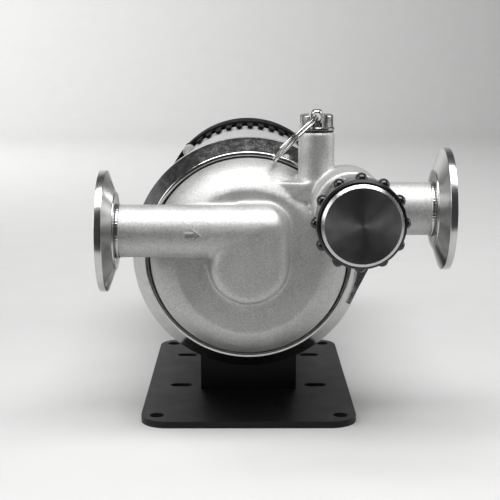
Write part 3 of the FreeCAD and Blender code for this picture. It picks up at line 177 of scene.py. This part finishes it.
def coil(name, radius, pitch, turns, wire, stepsEachTurn=64, sides=12):
    # round wire wound about Z from z = 0, in millimetres
    clearSelection()
    bpy.ops.mesh.primitive_circle_add(
        vertices=sides, radius=wire * mm, location=(radius * mm, 0, 0), rotation=(math.radians(90), 0, 0)
    )
    piece = bpy.context.object
    piece.name = name
    piece.data.name = name
    freeze(piece)
    screw = piece.modifiers.new("winding", "SCREW")
    screw.angle = 2 * math.pi * turns
    screw.screw_offset = pitch * turns * mm
    screw.steps = int(stepsEachTurn * turns)
    screw.render_steps = int(stepsEachTurn * turns)
    screw.use_merge_vertices = False
    applyModifiers(piece)
    pick(piece)
    bpy.ops.object.mode_set(mode="EDIT")
    bpy.ops.mesh.select_all(action="DESELECT")
    bpy.ops.mesh.select_non_manifold()
    bpy.ops.mesh.fill_holes(sides=0)
    bpy.ops.object.mode_set(mode="OBJECT")
    cleanShell(piece)
    smoothByAngle(piece, 50)
    return piece


def softenEdges(piece, width, segments=2, degrees=25):
    bevel = piece.modifiers.new("edges", "BEVEL")
    bevel.width = width * mm
    bevel.segments = segments
    bevel.limit_method = "ANGLE"
    bevel.angle_limit = math.radians(degrees)
    bevel.use_clamp_overlap = True
    bevel.harden_normals = False
    applyModifiers(piece)


def seat(piece, body, replaced=(), material=None):
    # the finished piece joins the frame
    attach(piece, body)
    if replaced:
        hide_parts(*replaced)
    if material:
        piece.data.materials.clear()
        piece.data.materials.append(material)


def fromHex(text):
    # sRGB hex to the linear colour that a shader takes
    values = [int(text[i : i + 2], 16) / 255 for i in (0, 2, 4)]
    linear = [v / 12.92 if v <= 0.04045 else ((v + 0.055) / 1.055) ** 2.4 for v in values]
    return (linear[0], linear[1], linear[2], 1.0)


def addNode(tree, kind, settings=None, links=None):
    node = tree.nodes.new(kind)
    for key, value in (settings or {}).items():
        if isinstance(key, int) or key in node.inputs:
            node.inputs[key].default_value = value
        else:
            setattr(node, key, value)
    for key, source in (links or {}).items():
        tree.links.new(source, node.inputs[key])
    return node


def perMm(size):
    # texture scale for features of a size in millimetres, on Object coordinates in metres
    return 1000.0 / size


def newMaterial(name, shader):
    material = bpy.data.materials.new(name)
    material.use_nodes = True
    tree = material.node_tree
    principled = tree.nodes["Principled BSDF"]
    for key, value in shader.items():
        principled.inputs[key].default_value = value
    coordinates = addNode(tree, "ShaderNodeTexCoord").outputs["Object"]
    return material, tree, principled, coordinates


castSettings = {
    "light": "dddddc",
    "dark": "c3c3c2",
    # painted shade: the colour that darkens the pits of the grain
    "shadeInPits": "a0a0a0",
    "pitShadeShare": 0.5,
    "patchSize": 9.0,
    "waveSize": 3.2,
    "waveDepth": 0.05,
    "gritSize": 0.75,
    "gritDepth": 0.06,
    "roughness": (0.54, 0.66),
}


def castStainless():
    # investment cast 316 stainless, bead blasted: a satin grain of fine pits, darkened with painted
    # shade, with faint mould patches
    material, tree, shader, at = newMaterial("bead blasted cast stainless", {"Metallic": 1.0})
    low, high = castSettings["roughness"]
    patch = addNode(
        tree,
        "ShaderNodeTexNoise",
        {"Scale": perMm(castSettings["patchSize"]), "Detail": 3.0},
        {"Vector": at},
    ).outputs["Fac"]
    wave = addNode(
        tree,
        "ShaderNodeTexNoise",
        {"Scale": perMm(castSettings["waveSize"]), "Detail": 1.0},
        {"Vector": at},
    ).outputs["Fac"]
    grit = addNode(
        tree,
        "ShaderNodeTexNoise",
        {"Scale": perMm(castSettings["gritSize"]), "Detail": 3.0, "Roughness": 0.6},
        {"Vector": at},
    ).outputs["Fac"]
    tone = addNode(
        tree,
        "ShaderNodeMix",
        {"data_type": "RGBA", 6: fromHex(castSettings["dark"]), 7: fromHex(castSettings["light"])},
        {0: patch},
    ).outputs[2]
    # painted shade: where the grit bump is low, in its pits, the colour is darkened
    pitShadeMask = addNode(tree, "ShaderNodeMapRange", {1: 0.3, 2: 0.7, 3: 0.0, 4: 1.0}, {0: grit}).outputs[0]
    pitShadeTone = addNode(
        tree,
        "ShaderNodeMix",
        {"data_type": "RGBA", 6: fromHex(castSettings["shadeInPits"]), 7: (1, 1, 1, 1)},
        {0: pitShadeMask},
    ).outputs[2]
    colour = addNode(
        tree,
        "ShaderNodeMix",
        {"data_type": "RGBA", "blend_type": "MULTIPLY", 0: castSettings["pitShadeShare"]},
        {6: tone, 7: pitShadeTone},
    ).outputs[2]
    gloss = addNode(tree, "ShaderNodeMapRange", {3: low, 4: high}, {0: patch}).outputs[0]
    rolled = addNode(
        tree, "ShaderNodeBump", {"Distance": castSettings["waveDepth"] * mm}, {"Height": wave}
    ).outputs["Normal"]
    grain = addNode(
        tree,
        "ShaderNodeBump",
        {"Distance": castSettings["gritDepth"] * mm},
        {"Height": grit, "Normal": rolled},
    ).outputs["Normal"]
    tree.links.new(colour, shader.inputs["Base Color"])
    tree.links.new(gloss, shader.inputs["Roughness"])
    tree.links.new(grain, shader.inputs["Normal"])
    return material


polish = {
    "dark": "a6a6a5",
    "light": "cdcdcc",
    "dentDepth": 0.004,
    "scratchSize": 0.8,
    "scratchDepth": 0.003,
}


def polishedStainless(name, roughness, smudgeSize=7.0, cloud=0.0):
    # pressed or machined stainless, polished: clear reflections under smudges, with fine scratches
    material, tree, shader, at = newMaterial(name, {"Metallic": 1.0})
    smudge = addNode(
        tree,
        "ShaderNodeTexNoise",
        {"Scale": perMm(smudgeSize), "Detail": 5.0, "Roughness": 0.65},
        {"Vector": at},
    ).outputs["Fac"]
    scratch = addNode(
        tree,
        "ShaderNodeTexNoise",
        {"Scale": perMm(polish["scratchSize"]), "Detail": 4.0, "Roughness": 0.7},
        {"Vector": at},
    ).outputs["Fac"]
    tone = addNode(
        tree,
        "ShaderNodeMix",
        {"data_type": "RGBA", 6: fromHex(polish["dark"]), 7: fromHex(polish["light"])},
        {0: smudge},
    ).outputs[2]
    gloss = addNode(
        tree, "ShaderNodeMapRange", {1: 0.3, 2: 0.7, 3: roughness * 0.6, 4: roughness * 1.5}, {0: smudge}
    ).outputs[0]
    dents = addNode(
        tree, "ShaderNodeBump", {"Distance": (polish["dentDepth"] + cloud) * mm}, {"Height": smudge}
    ).outputs["Normal"]
    lines = addNode(
        tree,
        "ShaderNodeBump",
        {"Distance": polish["scratchDepth"] * mm},
        {"Height": scratch, "Normal": dents},
    ).outputs["Normal"]
    tree.links.new(tone, shader.inputs["Base Color"])
    tree.links.new(gloss, shader.inputs["Roughness"])
    tree.links.new(lines, shader.inputs["Normal"])
    return material


turnedSmudge = 5.0


def turnedMetal(name, centre, axis, dark, light, roughness, pitch=0.35, depth=0.0012, spread=0.0):
    # metal turned on a lathe: very fine rings about the axis, at a pitch that still shows, and smudges
    material, tree, shader, at = newMaterial(name, {"Metallic": 1.0, "Anisotropic": spread})
    keep = tuple(0.0 if share else 1.0 for share in axis)
    local = addNode(
        tree, "ShaderNodeVectorMath", {"operation": "SUBTRACT", 1: centre}, {0: at}
    ).outputs[0]
    flat = addNode(
        tree, "ShaderNodeVectorMath", {"operation": "MULTIPLY", 1: keep}, {0: local}
    ).outputs[0]
    radius = addNode(tree, "ShaderNodeVectorMath", {"operation": "LENGTH"}, {0: flat}).outputs["Value"]
    turns = addNode(
        tree, "ShaderNodeMath", {"operation": "MULTIPLY", 1: 2 * math.pi / (pitch * mm)}, {0: radius}
    )
    rings = addNode(tree, "ShaderNodeMath", {"operation": "SINE"}, {0: turns.outputs[0]}).outputs[0]
    smudge = addNode(
        tree,
        "ShaderNodeTexNoise",
        {"Scale": perMm(turnedSmudge), "Detail": 4.0, "Roughness": 0.6},
        {"Vector": at},
    ).outputs["Fac"]
    tone = addNode(
        tree, "ShaderNodeMix", {"data_type": "RGBA", 6: fromHex(dark), 7: fromHex(light)}, {0: smudge}
    ).outputs[2]
    gloss = addNode(
        tree, "ShaderNodeMapRange", {3: roughness * 0.75, 4: roughness * 1.35}, {0: smudge}
    ).outputs[0]
    marks = addNode(
        tree, "ShaderNodeBump", {"Distance": depth * mm}, {"Height": rings}
    ).outputs["Normal"]
    if spread:
        around = addNode(
            tree, "ShaderNodeVectorMath", {"operation": "CROSS_PRODUCT", 1: axis}, {0: flat}
        ).outputs[0]
        tree.links.new(around, shader.inputs["Tangent"])
    tree.links.new(tone, shader.inputs["Base Color"])
    tree.links.new(gloss, shader.inputs["Roughness"])
    tree.links.new(marks, shader.inputs["Normal"])
    return material


def coated(name, dark, light, roughness, patchSize, grainSize, grainDepth, metallic=0.0, sheen=0.5):
    # a coat or a moulded skin: dust or wear in patches, and a fine orange peel or mould texture
    material, tree, shader, at = newMaterial(
        name, {"Metallic": metallic, "IOR": 1.5, "Specular IOR Level": sheen}
    )
    patch = addNode(
        tree,
        "ShaderNodeTexNoise",
        {"Scale": perMm(patchSize), "Detail": 5.0, "Roughness": 0.6},
        {"Vector": at},
    ).outputs["Fac"]
    grain = addNode(
        tree, "ShaderNodeTexNoise", {"Scale": perMm(grainSize), "Detail": 2.0}, {"Vector": at}
    ).outputs["Fac"]
    tone = addNode(
        tree, "ShaderNodeMix", {"data_type": "RGBA", 6: fromHex(dark), 7: fromHex(light)}, {0: patch}
    ).outputs[2]
    gloss = addNode(
        tree, "ShaderNodeMapRange", {3: roughness * 0.8, 4: roughness * 1.25}, {0: patch}
    ).outputs[0]
    peel = addNode(
        tree, "ShaderNodeBump", {"Distance": grainDepth * mm}, {"Height": grain}
    ).outputs["Normal"]
    tree.links.new(tone, shader.inputs["Base Color"])
    tree.links.new(gloss, shader.inputs["Roughness"])
    tree.links.new(peel, shader.inputs["Normal"])
    return material


knobCentre = tuple(place(41.7, -90.0, 25.1))
pipeAxis = tuple(place(0, -33.0, 19.0))
alongPipe, alongStem = (1, 0, 0), (0, 1, 0)
finishes = {
    "cast": castStainless(),
    "pressed": polishedStainless("polished pressed stainless", 0.15, 2.6, 0.012),
    "bright": polishedStainless("bright machined stainless", 0.18, 4.0),
    "wire": polishedStainless("drawn stainless wire", 0.14, 3.0),
    "ferrule": turnedMetal("turned sanitary stainless", pipeAxis, alongPipe, "b0b0af", "cececd", 0.2),
    "coat": coated("black powder coated steel", "060606", "0e0e0e", 0.45, 14.0, 1.6, 0.02, 0.0, 0.3),
    "cowl": coated("black moulded nylon", "040404", "090909", 0.7, 8.0, 1.1, 0.01, 0.0, 0.12),
    "grip": coated("black phenolic moulding", "070708", "101011", 0.22, 8.0, 2.4, 0.006),
    # painted reflection: the motor adapter and shell are coloured light grey for the pale backdrop they
    # reflect at a grazing angle on top
    "paint": coated("light grey satin coat, painted reflection", "9c9c9c", "b0b0b0", 0.5, 5.0, 2.0, 0.02, 0.2),
    "anodised": turnedMetal(
        "black anodised aluminium", knobCentre, alongStem, "6e6e70", "89898b", 0.4, 0.4, 0.0008, 0.8
    ),
    "bevel": turnedMetal(
        "bright cut aluminium", knobCentre, alongStem, "a5a5a6", "c9c9ca", 0.25, 0.3, 0.001
    ),
    "rubber": coated("black EPDM rubber", "101010", "1a1a1a", 0.6, 5.0, 0.8, 0.01),
    "polymer": coated("natural filled polymer", "a79f8c", "b9b19e", 0.45, 4.0, 0.9, 0.01),
    "ceramic": coated("ground alumina ceramic", "e3e0d6", "eeebe2", 0.25, 3.0, 0.6, 0.002),
    "carbon": coated("pressed carbon graphite", "2a2a2b", "363637", 0.5, 3.0, 0.6, 0.006, 0.2),
    "magnet": coated("sintered ferrite magnet", "2f2f31", "3f3f42", 0.45, 3.0, 0.6, 0.008, 0.4),
    "aluminium": coated("machined aluminium", "bcbdbf", "d0d1d2", 0.3, 4.0, 0.8, 0.004, 1.0),
    "laminations": coated("stacked silicon steel", "77787b", "8b8c8f", 0.4, 3.0, 0.5, 0.02, 0.9),
    "copper": coated("enamelled copper wire", "8e4a26", "b1653a", 0.3, 3.0, 0.9, 0.05, 0.9),
}
print("materials made:", len(finishes))

nodeFinish = {
    "coat": ["base_plate", "motor_saddle"],
    "bright": [
        "saddle_screws", "motor_screws", "hub_set_screw", "motor_shaft", "front_bearing", "rear_bearing",
        "cowl_screws", "clamp_hinge_pin", "clamp_bolt", "clamp_bolt_pin", "clamp_washer",
        "clamp_wing_nut", "valve_bonnet", "valve_stem", "valve_plunger", "plunger_clip",
        "knob_set_screw", "vent_body", "vent_stem",
    ],
    "cast": ["head_casting"],
    "ferrule": ["inlet_ferrule", "outlet_ferrule"],
    "pressed": ["clamp_lower_half", "clamp_upper_half"],
    "wire": ["vent_spring", "vent_pull_ring"],
    "rubber": ["head_oring", "bonnet_oring", "stem_oring", "plunger_oring", "vent_gasket", "vent_seal"],
    "polymer": ["containment_can", "impeller"],
    "ceramic": ["impeller_shaft", "front_thrust_washer", "rear_thrust_washer"],
    "carbon": ["impeller_bush"],
    "magnet": ["impeller_magnet", "drive_magnets"],
    "aluminium": ["drive_hub", "rear_end_bell"],
    # painted reflection: light grey standing in for the backdrop's grazing reflection on the motor
    "paint": ["motor_adapter", "motor_shell"],
    "laminations": ["rotor_core", "stator_stack"],
    "copper": ["stator_windings"],
    "cowl": ["cooling_fan", "rear_cowl", "cable_gland"],
    "anodised": ["knob_core"],
    "grip": ["knob_grip"],
}
for finish, names in nodeFinish.items():
    for nodeName in names:
        nodes[nodeName].data.materials.clear()
        nodes[nodeName].data.materials.append(finishes[finish])
print("materials laid on", sum(len(names) for names in nodeFinish.values()), "nodes")


casting = {
    "voxel": 0.68,
    "passes": 9,
    "softFrom": -11.2,
    "softFull": -13.5,
    "bossPasses": 22,
    "bossBox": ((-20.0, -50.0, -20.0), (20.5, -31.0, 24.0)),
    "mostTriangles": 190000,
    "valveAxis": (41.7, 25.1),
    "valveChamber": {
        "radius": 10.3, "wallFrom": 8.4, "front": -44.0, "floor": -25.8, "floorFrom": 2.2, "room": 0.45
    },
}


def clearValveChamber(piece):
    # the skin stands back from the plunger's running fit, and from its corner on the seat
    chamber = casting["valveChamber"]
    axis = place(casting["valveAxis"][0], 0, casting["valveAxis"][1])
    front, floor = place(0, chamber["front"], 0).y, place(0, chamber["floor"], 0).y
    room = chamber["room"] * mm
    for vertex in piece.data.vertices:
        across = Vector((vertex.co.x - axis.x, 0, vertex.co.z - axis.z))
        if across.length < chamber["radius"] * mm and front < vertex.co.y < floor:
            if across.length > chamber["wallFrom"] * mm:
                vertex.co += across.normalized() * room
            if vertex.co.y > floor - chamber["floorFrom"] * mm:
                vertex.co.y += room


def castHead():
    # the solid with the soft fillets of an investment casting where its forms meet
    piece = copyOfNode("head_casting", "cast_head")
    remesh = piece.modifiers.new("skin", "REMESH")
    remesh.mode = "VOXEL"
    remesh.voxel_size = casting["voxel"] * mm
    remesh.use_smooth_shade = True
    applyModifiers(piece)
    soft = piece.vertex_groups.new(name="soft")
    boss = piece.vertex_groups.new(name="boss")
    low, high = place(0, casting["softFull"], 0).y, place(0, casting["softFrom"], 0).y
    near, far = (place(*corner) for corner in casting["bossBox"])
    for vertex in piece.data.vertices:
        share = (high - vertex.co.y) / (high - low)
        if share > 0:
            soft.add([vertex.index], min(1.0, share), "REPLACE")
        inside = min(min(vertex.co[i] - near[i], far[i] - vertex.co[i]) for i in range(3))
        if inside > 0:
            boss.add([vertex.index], min(1.0, inside / (3 * mm)), "REPLACE")
    for groupName, passes in (("soft", casting["passes"]), ("boss", casting["bossPasses"])):
        smooth = piece.modifiers.new("fillets", "SMOOTH")
        smooth.factor = 0.5
        smooth.iterations = passes
        smooth.vertex_group = groupName
    applyModifiers(piece)
    triangles = sum(len(face.vertices) - 2 for face in piece.data.polygons)
    if triangles > casting["mostTriangles"]:
        thin = piece.modifiers.new("thin", "DECIMATE")
        thin.ratio = casting["mostTriangles"] / triangles
        applyModifiers(piece)
    piece.vertex_groups.clear()
    clearValveChamber(piece)
    pick(piece)
    bpy.ops.object.shade_smooth()
    seat(piece, "pump_frame", ["head_casting"], finishes["cast"])


castHead()
print("head casting skinned")

arrow = {
    "tail": -26.6,
    "neck": -22.9,
    "tip": -18.9,
    "z": 13.9,
    "half": 1.5,
    "headHalf": 3.0,
    "line": 0.6,
    "rise": 0.75,
    "root": 0.6,
    "edge": 0.12,
    "pipeRadius": 11.0,
    "pipeAxis": (-33.0, 14.5),
}


def flowArrow():
    # raised outline of an arrow on the front of the inlet pipe, cast with it
    left, neck, tip, line = arrow["tail"], arrow["neck"], arrow["tip"], arrow["line"]
    half, headHalf = arrow["half"], arrow["headHalf"]
    outer = [
        (left, -half),
        (neck, -half),
        (neck, -headHalf),
        (tip, 0),
        (neck, headHalf),
        (neck, half),
        (left, half),
    ]
    inner = [
        (left + line, line - half),
        (neck + line, line - half),
        (neck + line, 2.1 * line - headHalf),
        (tip - 1.7 * line, 0),
        (neck + line, headHalf - 2.1 * line),
        (neck + line, half - line),
        (left + line, half - line),
    ]
    points = [place(x, -40.0, arrow["z"] + z) for x, z in outer + inner]
    count = len(outer)
    faces = [(i, (i + 1) % count, count + (i + 1) % count, count + i) for i in range(count)]
    data = bpy.data.meshes.new("flow_arrow")
    data.from_pydata(points, [], faces)
    piece = bpy.data.objects.new("flow_arrow", data)
    bpy.context.scene.collection.objects.link(piece)
    pick(piece)
    bpy.ops.object.mode_set(mode="EDIT")
    bpy.ops.mesh.select_all(action="SELECT")
    bpy.ops.mesh.subdivide(number_cuts=3)
    bpy.ops.mesh.extrude_region_move(TRANSFORM_OT_translate={"value": (0, -1 * mm, 0)})
    bpy.ops.object.mode_set(mode="OBJECT")
    axis = place(0, *arrow["pipeAxis"])
    middle = place(0, -40.5, 0).y
    for vertex in data.vertices:
        away = vertex.co.z - axis.z
        skin = axis.y - math.sqrt((arrow["pipeRadius"] * mm) ** 2 - away**2)
        isFront = vertex.co.y < middle
        vertex.co.y = skin - arrow["rise"] * mm if isFront else skin + arrow["root"] * mm
    cleanShell(piece)
    softenEdges(piece, arrow["edge"])
    smoothByAngle(piece)
    seat(piece, "pump_frame", material=finishes["cast"])


flowArrow()
print("flow arrow raised")

# from the sealing face inwards as (radius, depth): face, gasket groove, rim, cone, hub and socket
ferruleShape = {
    "profile": [
        (8.0, 0), (20.1, 0), (20.3, 0.75), (20.85, 1.3), (21.6, 1.5), (22.35, 1.3), (22.9, 0.75),
        (23.1, 0), (25.25, 0), (25.25, 2.85), (16.3, 6.05), (16.3, 6.55), (11.05, 6.55), (11.05, 4.0),
        (8.0, 4.0),
    ],
    "hub": 6.55,
    "edge": 0.22,
    "pieces": {
        "inlet_ferrule": ("turned_inlet_ferrule", -1, "inlet_weld_bead"),
        "outlet_ferrule": ("turned_outlet_ferrule", 1, "outlet_weld_bead"),
    },
}
weldBead = {
    "skin": 11.0,
    "sunk": 0.1,
    "height": 0.34,
    "width": 1.5,
    "fromHub": 0.02,
    "ripple": 0.07,
    "ripples": 58,
    "steps": 232,
}


def ferrules():
    # turned clamp ferrules with broken edges, each welded to its pipe with a low bead
    for nodeName, (name, side, beadName) in ferruleShape["pieces"].items():
        low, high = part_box(nodeName)
        face = high[0] if side > 0 else low[0]
        centre = Vector((face, (low[1] + high[1]) / 2, (low[2] + high[2]) / 2))
        piece = turned(name, [(radius, -side * depth) for radius, depth in ferruleShape["profile"]], 160)
        piece.data.transform(Matrix.Translation(centre))
        softenEdges(piece, ferruleShape["edge"], 3)
        smoothByAngle(piece, 30)
        seat(piece, "pump_frame", [nodeName], finishes["ferrule"])
        hub = ferruleShape["hub"] + weldBead["fromHub"]
        skin, rise, width = weldBead["skin"], weldBead["height"], weldBead["width"]
        arch = [(0.0, 0.0), (0.06, 0.6), (0.25, 0.9), (0.5, 1.0), (0.75, 0.8), (0.94, 0.4), (1.0, 0.0)]
        section = [(skin + rise * up, -side * (hub + width * along)) for along, up in arch]
        root = skin - weldBead["sunk"]
        section += [(root, section[-1][1]), (root, section[0][1])]
        bead = turned(beadName, section, weldBead["steps"])
        for vertex in bead.data.vertices:
            around = math.atan2(vertex.co.z, vertex.co.y)
            distance = math.hypot(vertex.co.y, vertex.co.z)
            if distance > (skin + 0.02) * mm:
                stretch = 1 + weldBead["ripple"] * mm * math.sin(weldBead["ripples"] * around) / distance
                vertex.co.y *= stretch
                vertex.co.z *= stretch
        bead.data.transform(Matrix.Translation(centre))
        smoothByAngle(bead, 40)
        seat(bead, "pump_frame", material=finishes["bright"])


ferrules()
print("ferrules turned and welded")

# skin of the clamp ring as (radius, y) with rounded lip and rim, 0.03 mm proud of the solid under it
clampSkin = {
    "front": [
        (43.67, -10.75), (43.85, -11.15), (44.25, -11.33), (45.05, -11.33), (45.45, -11.14),
        (45.6, -10.95), (50.05, -5.13), (50.2, -4.93), (50.65, -4.3), (51.0, -3.7), (51.2, -3.0),
        (51.24, -2.6), (51.24, -2.2),
    ],
    "inside": [(44.5, 8.0), (48.0, 4.0), (48.0, -4.0), (44.5, -8.0), (43.67, -8.0)],
    "halves": {
        "clamp_upper_half": ("pressed_upper_clamp", "clamp_top", -84.6, 163.2),
        "clamp_lower_half": ("pressed_lower_clamp", "pump_frame", 84.5, 188.5),
    },
}


def clampHalves():
    # each half keeps its hinge and bolt ears and gets a smooth round skin
    rear = [(radius, -y) for radius, y in clampSkin["front"]][::-1]
    profile = clampSkin["front"] + rear + [(43.67, 8.0)] + clampSkin["inside"]
    for nodeName, (name, body, start, sweep) in clampSkin["halves"].items():
        piece = copyOfNode(nodeName, name)
        skin = turned("skin", profile, 200, (0, 1, 0), start, sweep)
        skin.data.transform(Matrix.Translation(pumpOrigin))
        combine(piece, skin, "UNION")
        smoothByAngle(piece, 28)
        seat(piece, body, [nodeName], finishes["pressed"])


clampHalves()
print("clamp halves skinned")

knobFace = {"face": 15.3, "bevel": 1.1, "front": -91.8, "depth": 0.8}


def knobInsert():
    # the aluminium insert of the knob, with its bevel cut bright after anodising
    piece = copyOfNode("knob_core", "knob_insert")
    centre = place(41.7, 0, 25.1)
    front = place(0, knobFace["front"], 0).y
    piece.data.materials.clear()
    piece.data.materials.append(finishes["anodised"])
    piece.data.materials.append(finishes["bevel"])
    for face in piece.data.polygons:
        across = math.hypot(face.center.x - centre.x, face.center.z - centre.z)
        onBevel = 0.15 < abs(face.normal.y) < 0.95 and face.center.y < front + knobFace["depth"] * mm
        if onBevel and across > (knobFace["face"] - knobFace["bevel"] - 0.2) * mm:
            face.material_index = 1
    smoothByAngle(piece, 25)
    seat(piece, "knob", ["knob_core"])


knobInsert()
print("knob insert bevelled")

splitRing = {
    "radius": 12.6,
    "pitch": 1.3,
    "turns": 1.92,
    "wire": 0.55,
    "start": 200.0,
    "drop": 44.2,
    "tilt": -4.7,
    "hole": (28.6, -20.3, 61.1),
}


def pullRing():
    # split ring of nearly two turns that hangs in the stem's eye
    ring = splitRing
    piece = coil("wire_pull_ring", ring["radius"], ring["pitch"], ring["turns"], ring["wire"], 96, 14)
    middle = ring["pitch"] * (ring["start"] / 360 + 0.5)
    steps = (
        Matrix.Rotation(math.radians(-ring["start"]), 4, "Z"),
        Matrix.Translation(Vector((-ring["radius"], 0, -middle)) * mm),
        Matrix.Rotation(math.radians(ring["tilt"]), 4, "X"),
        Matrix.Rotation(math.radians(-ring["drop"]), 4, "Y"),
        Matrix.Translation(place(*ring["hole"])),
    )
    for step in steps:
        piece.data.transform(step)
    seat(piece, "pull_ring", ["vent_pull_ring"], finishes["wire"])


ventCoil = {"turns": 3.0, "wire": 0.25}


def ventSpring():
    # the return spring, as long as the solid it stands for
    low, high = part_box("vent_spring")
    wire = ventCoil["wire"]
    outer = (high[0] - low[0]) / 2 / mm
    height = (high[2] - low[2]) / mm - 2 * wire
    turns = ventCoil["turns"]
    piece = coil("return_spring", outer - wire, height / turns, turns, wire, 48, 10)
    bottom = Vector(((low[0] + high[0]) / 2, (low[1] + high[1]) / 2, low[2] + wire * mm))
    piece.data.transform(Matrix.Translation(bottom))
    seat(piece, "pump_frame", ["vent_spring"], finishes["wire"])


pullRing()
ventSpring()
print("wire pieces wound")

studio = {
    "paper": ("bfbfbe", "c4c4c4"),
    "fibre": 30.0,
    "floorSize": 8.0,
    "wallDistance": 1.6,
    "tableEdge": -0.24,
    "dark": (0.0, 1.0, -0.9),
    "roomStops": ((0.0, 0.06), (0.34, 0.06), (0.52, 0.26), (0.75, 0.58), (1.0, 0.66)),
}


def studioFloor():
    # a pale sweep: the floor runs back and turns up into the wall
    clearSelection()
    width, front, back = studio["floorSize"], studio["tableEdge"], studio["wallDistance"]
    bpy.ops.mesh.primitive_plane_add(size=1, location=(0, (back + front) / 2, 0))
    floor = bpy.context.object
    floor.name = "studio_floor"
    floor.scale = (width, back - front, 1)
    freeze(floor)
    bpy.ops.object.mode_set(mode="EDIT")
    bpy.ops.mesh.select_mode(type="EDGE")
    bpy.ops.mesh.select_all(action="DESELECT")
    bpy.ops.object.mode_set(mode="OBJECT")
    for edge in floor.data.edges:
        ends = [floor.data.vertices[i].co.y for i in edge.vertices]
        edge.select = min(ends) > back - 0.01
    bpy.ops.object.mode_set(mode="EDIT")
    for step in range(12):
        angle = math.radians(7.5 * (step + 0.5))
        run = 0.09
        bpy.ops.mesh.extrude_region_move(
            TRANSFORM_OT_translate={"value": (0, run * math.cos(angle), run * math.sin(angle))}
        )
    bpy.ops.mesh.extrude_region_move(TRANSFORM_OT_translate={"value": (0, 0, 3.0)})
    bpy.ops.object.mode_set(mode="OBJECT")
    bpy.ops.object.shade_smooth()
    material, tree, shader, at = newMaterial("matt paper sweep", {"Roughness": 0.9, "IOR": 1.3})
    fibre = addNode(
        tree, "ShaderNodeTexNoise", {"Scale": perMm(studio["fibre"]), "Detail": 3.0}, {"Vector": at}
    ).outputs["Fac"]
    first, second = (fromHex(text) for text in studio["paper"])
    paper = addNode(
        tree, "ShaderNodeMix", {"data_type": "RGBA", 6: first, 7: second}, {0: fibre}
    ).outputs[2]
    tree.links.new(paper, shader.inputs["Base Color"])
    floor.data.materials.append(material)


def studioWorld():
    # a pale room that is dark on the camera's side and overhead
    world = bpy.data.worlds.new("studio")
    bpy.context.scene.world = world
    world.use_nodes = True
    tree = world.node_tree
    tree.nodes.clear()
    direction = addNode(tree, "ShaderNodeTexCoord").outputs["Generated"]
    back = addNode(
        tree, "ShaderNodeVectorMath", {"operation": "DOT_PRODUCT", 1: studio["dark"]}, {0: direction}
    ).outputs["Value"]
    share = addNode(tree, "ShaderNodeMapRange", {1: -1.0, 2: 1.0}, {0: back}).outputs[0]
    ramp = addNode(tree, "ShaderNodeValToRGB", None, {0: share})
    ramp.color_ramp.interpolation = "EASE"
    stops = studio["roomStops"]
    ramp.color_ramp.elements[0].position = stops[0][0]
    ramp.color_ramp.elements[1].position = stops[-1][0]
    for position, _ in stops[1:-1]:
        ramp.color_ramp.elements.new(position)
    for element, (_, value) in zip(ramp.color_ramp.elements, stops):
        element.color = (value, value, value * 1.01, 1.0)
    room = addNode(tree, "ShaderNodeBackground", {"Strength": 1.0}, {"Color": ramp.outputs[0]})
    addNode(tree, "ShaderNodeOutputWorld", None, {"Surface": room.outputs[0]})


lamps = {
    "top softbox": {"at": (0.0, -0.36, 1.08), "aim": (0, -0.1, 0.1), "size": (1.3, 0.64), "watts": 21.0},
    "left softbox": {"at": (-1.1, -0.35, 0.5), "aim": (0, 0, 0.08), "size": (0.7, 0.7), "watts": 6.0},
    "right softbox": {"at": (1.2, 0.1, 0.5), "aim": (0, 0, 0.08), "size": (0.7, 0.8), "watts": 5.0},
    "back wall": {"at": (-1.0, 0.8, 1.1), "aim": (-0.7, 2.2, 0.5), "size": (0.9, 0.7), "watts": 38.0},
}


def studioLamps():
    for name, lamp in lamps.items():
        data = bpy.data.lights.new(name, "AREA")
        data.shape = "RECTANGLE"
        data.size, data.size_y = lamp["size"]
        data.energy = lamp["watts"]
        light = bpy.data.objects.new(name, data)
        light.location = lamp["at"]
        aim = Vector(lamp["aim"]) - Vector(lamp["at"])
        light.rotation_mode = "QUATERNION"
        light.rotation_quaternion = aim.to_track_quat("-Z", "Y")
        bpy.context.scene.collection.objects.link(light)


def studioCamera():
    # the photograph's camera, low in front of the head with a long lens
    data = bpy.data.cameras.new("camera")
    data.sensor_width = 36.0
    data.lens = 84.96
    data.clip_start = 0.02
    data.clip_end = 30.0
    camera = bpy.data.objects.new("camera", data)
    camera.location = (-0.00148, -0.5654, 0.16205)
    camera.rotation_euler = (math.radians(90) - 0.1685, 0.0, -0.0041)
    bpy.context.scene.collection.objects.link(camera)
    bpy.context.scene.camera = camera


studioFloor()
studioWorld()
studioLamps()
studioCamera()
bpy.context.scene.view_settings.view_transform = "Standard"
print("stage, lamps and camera set")
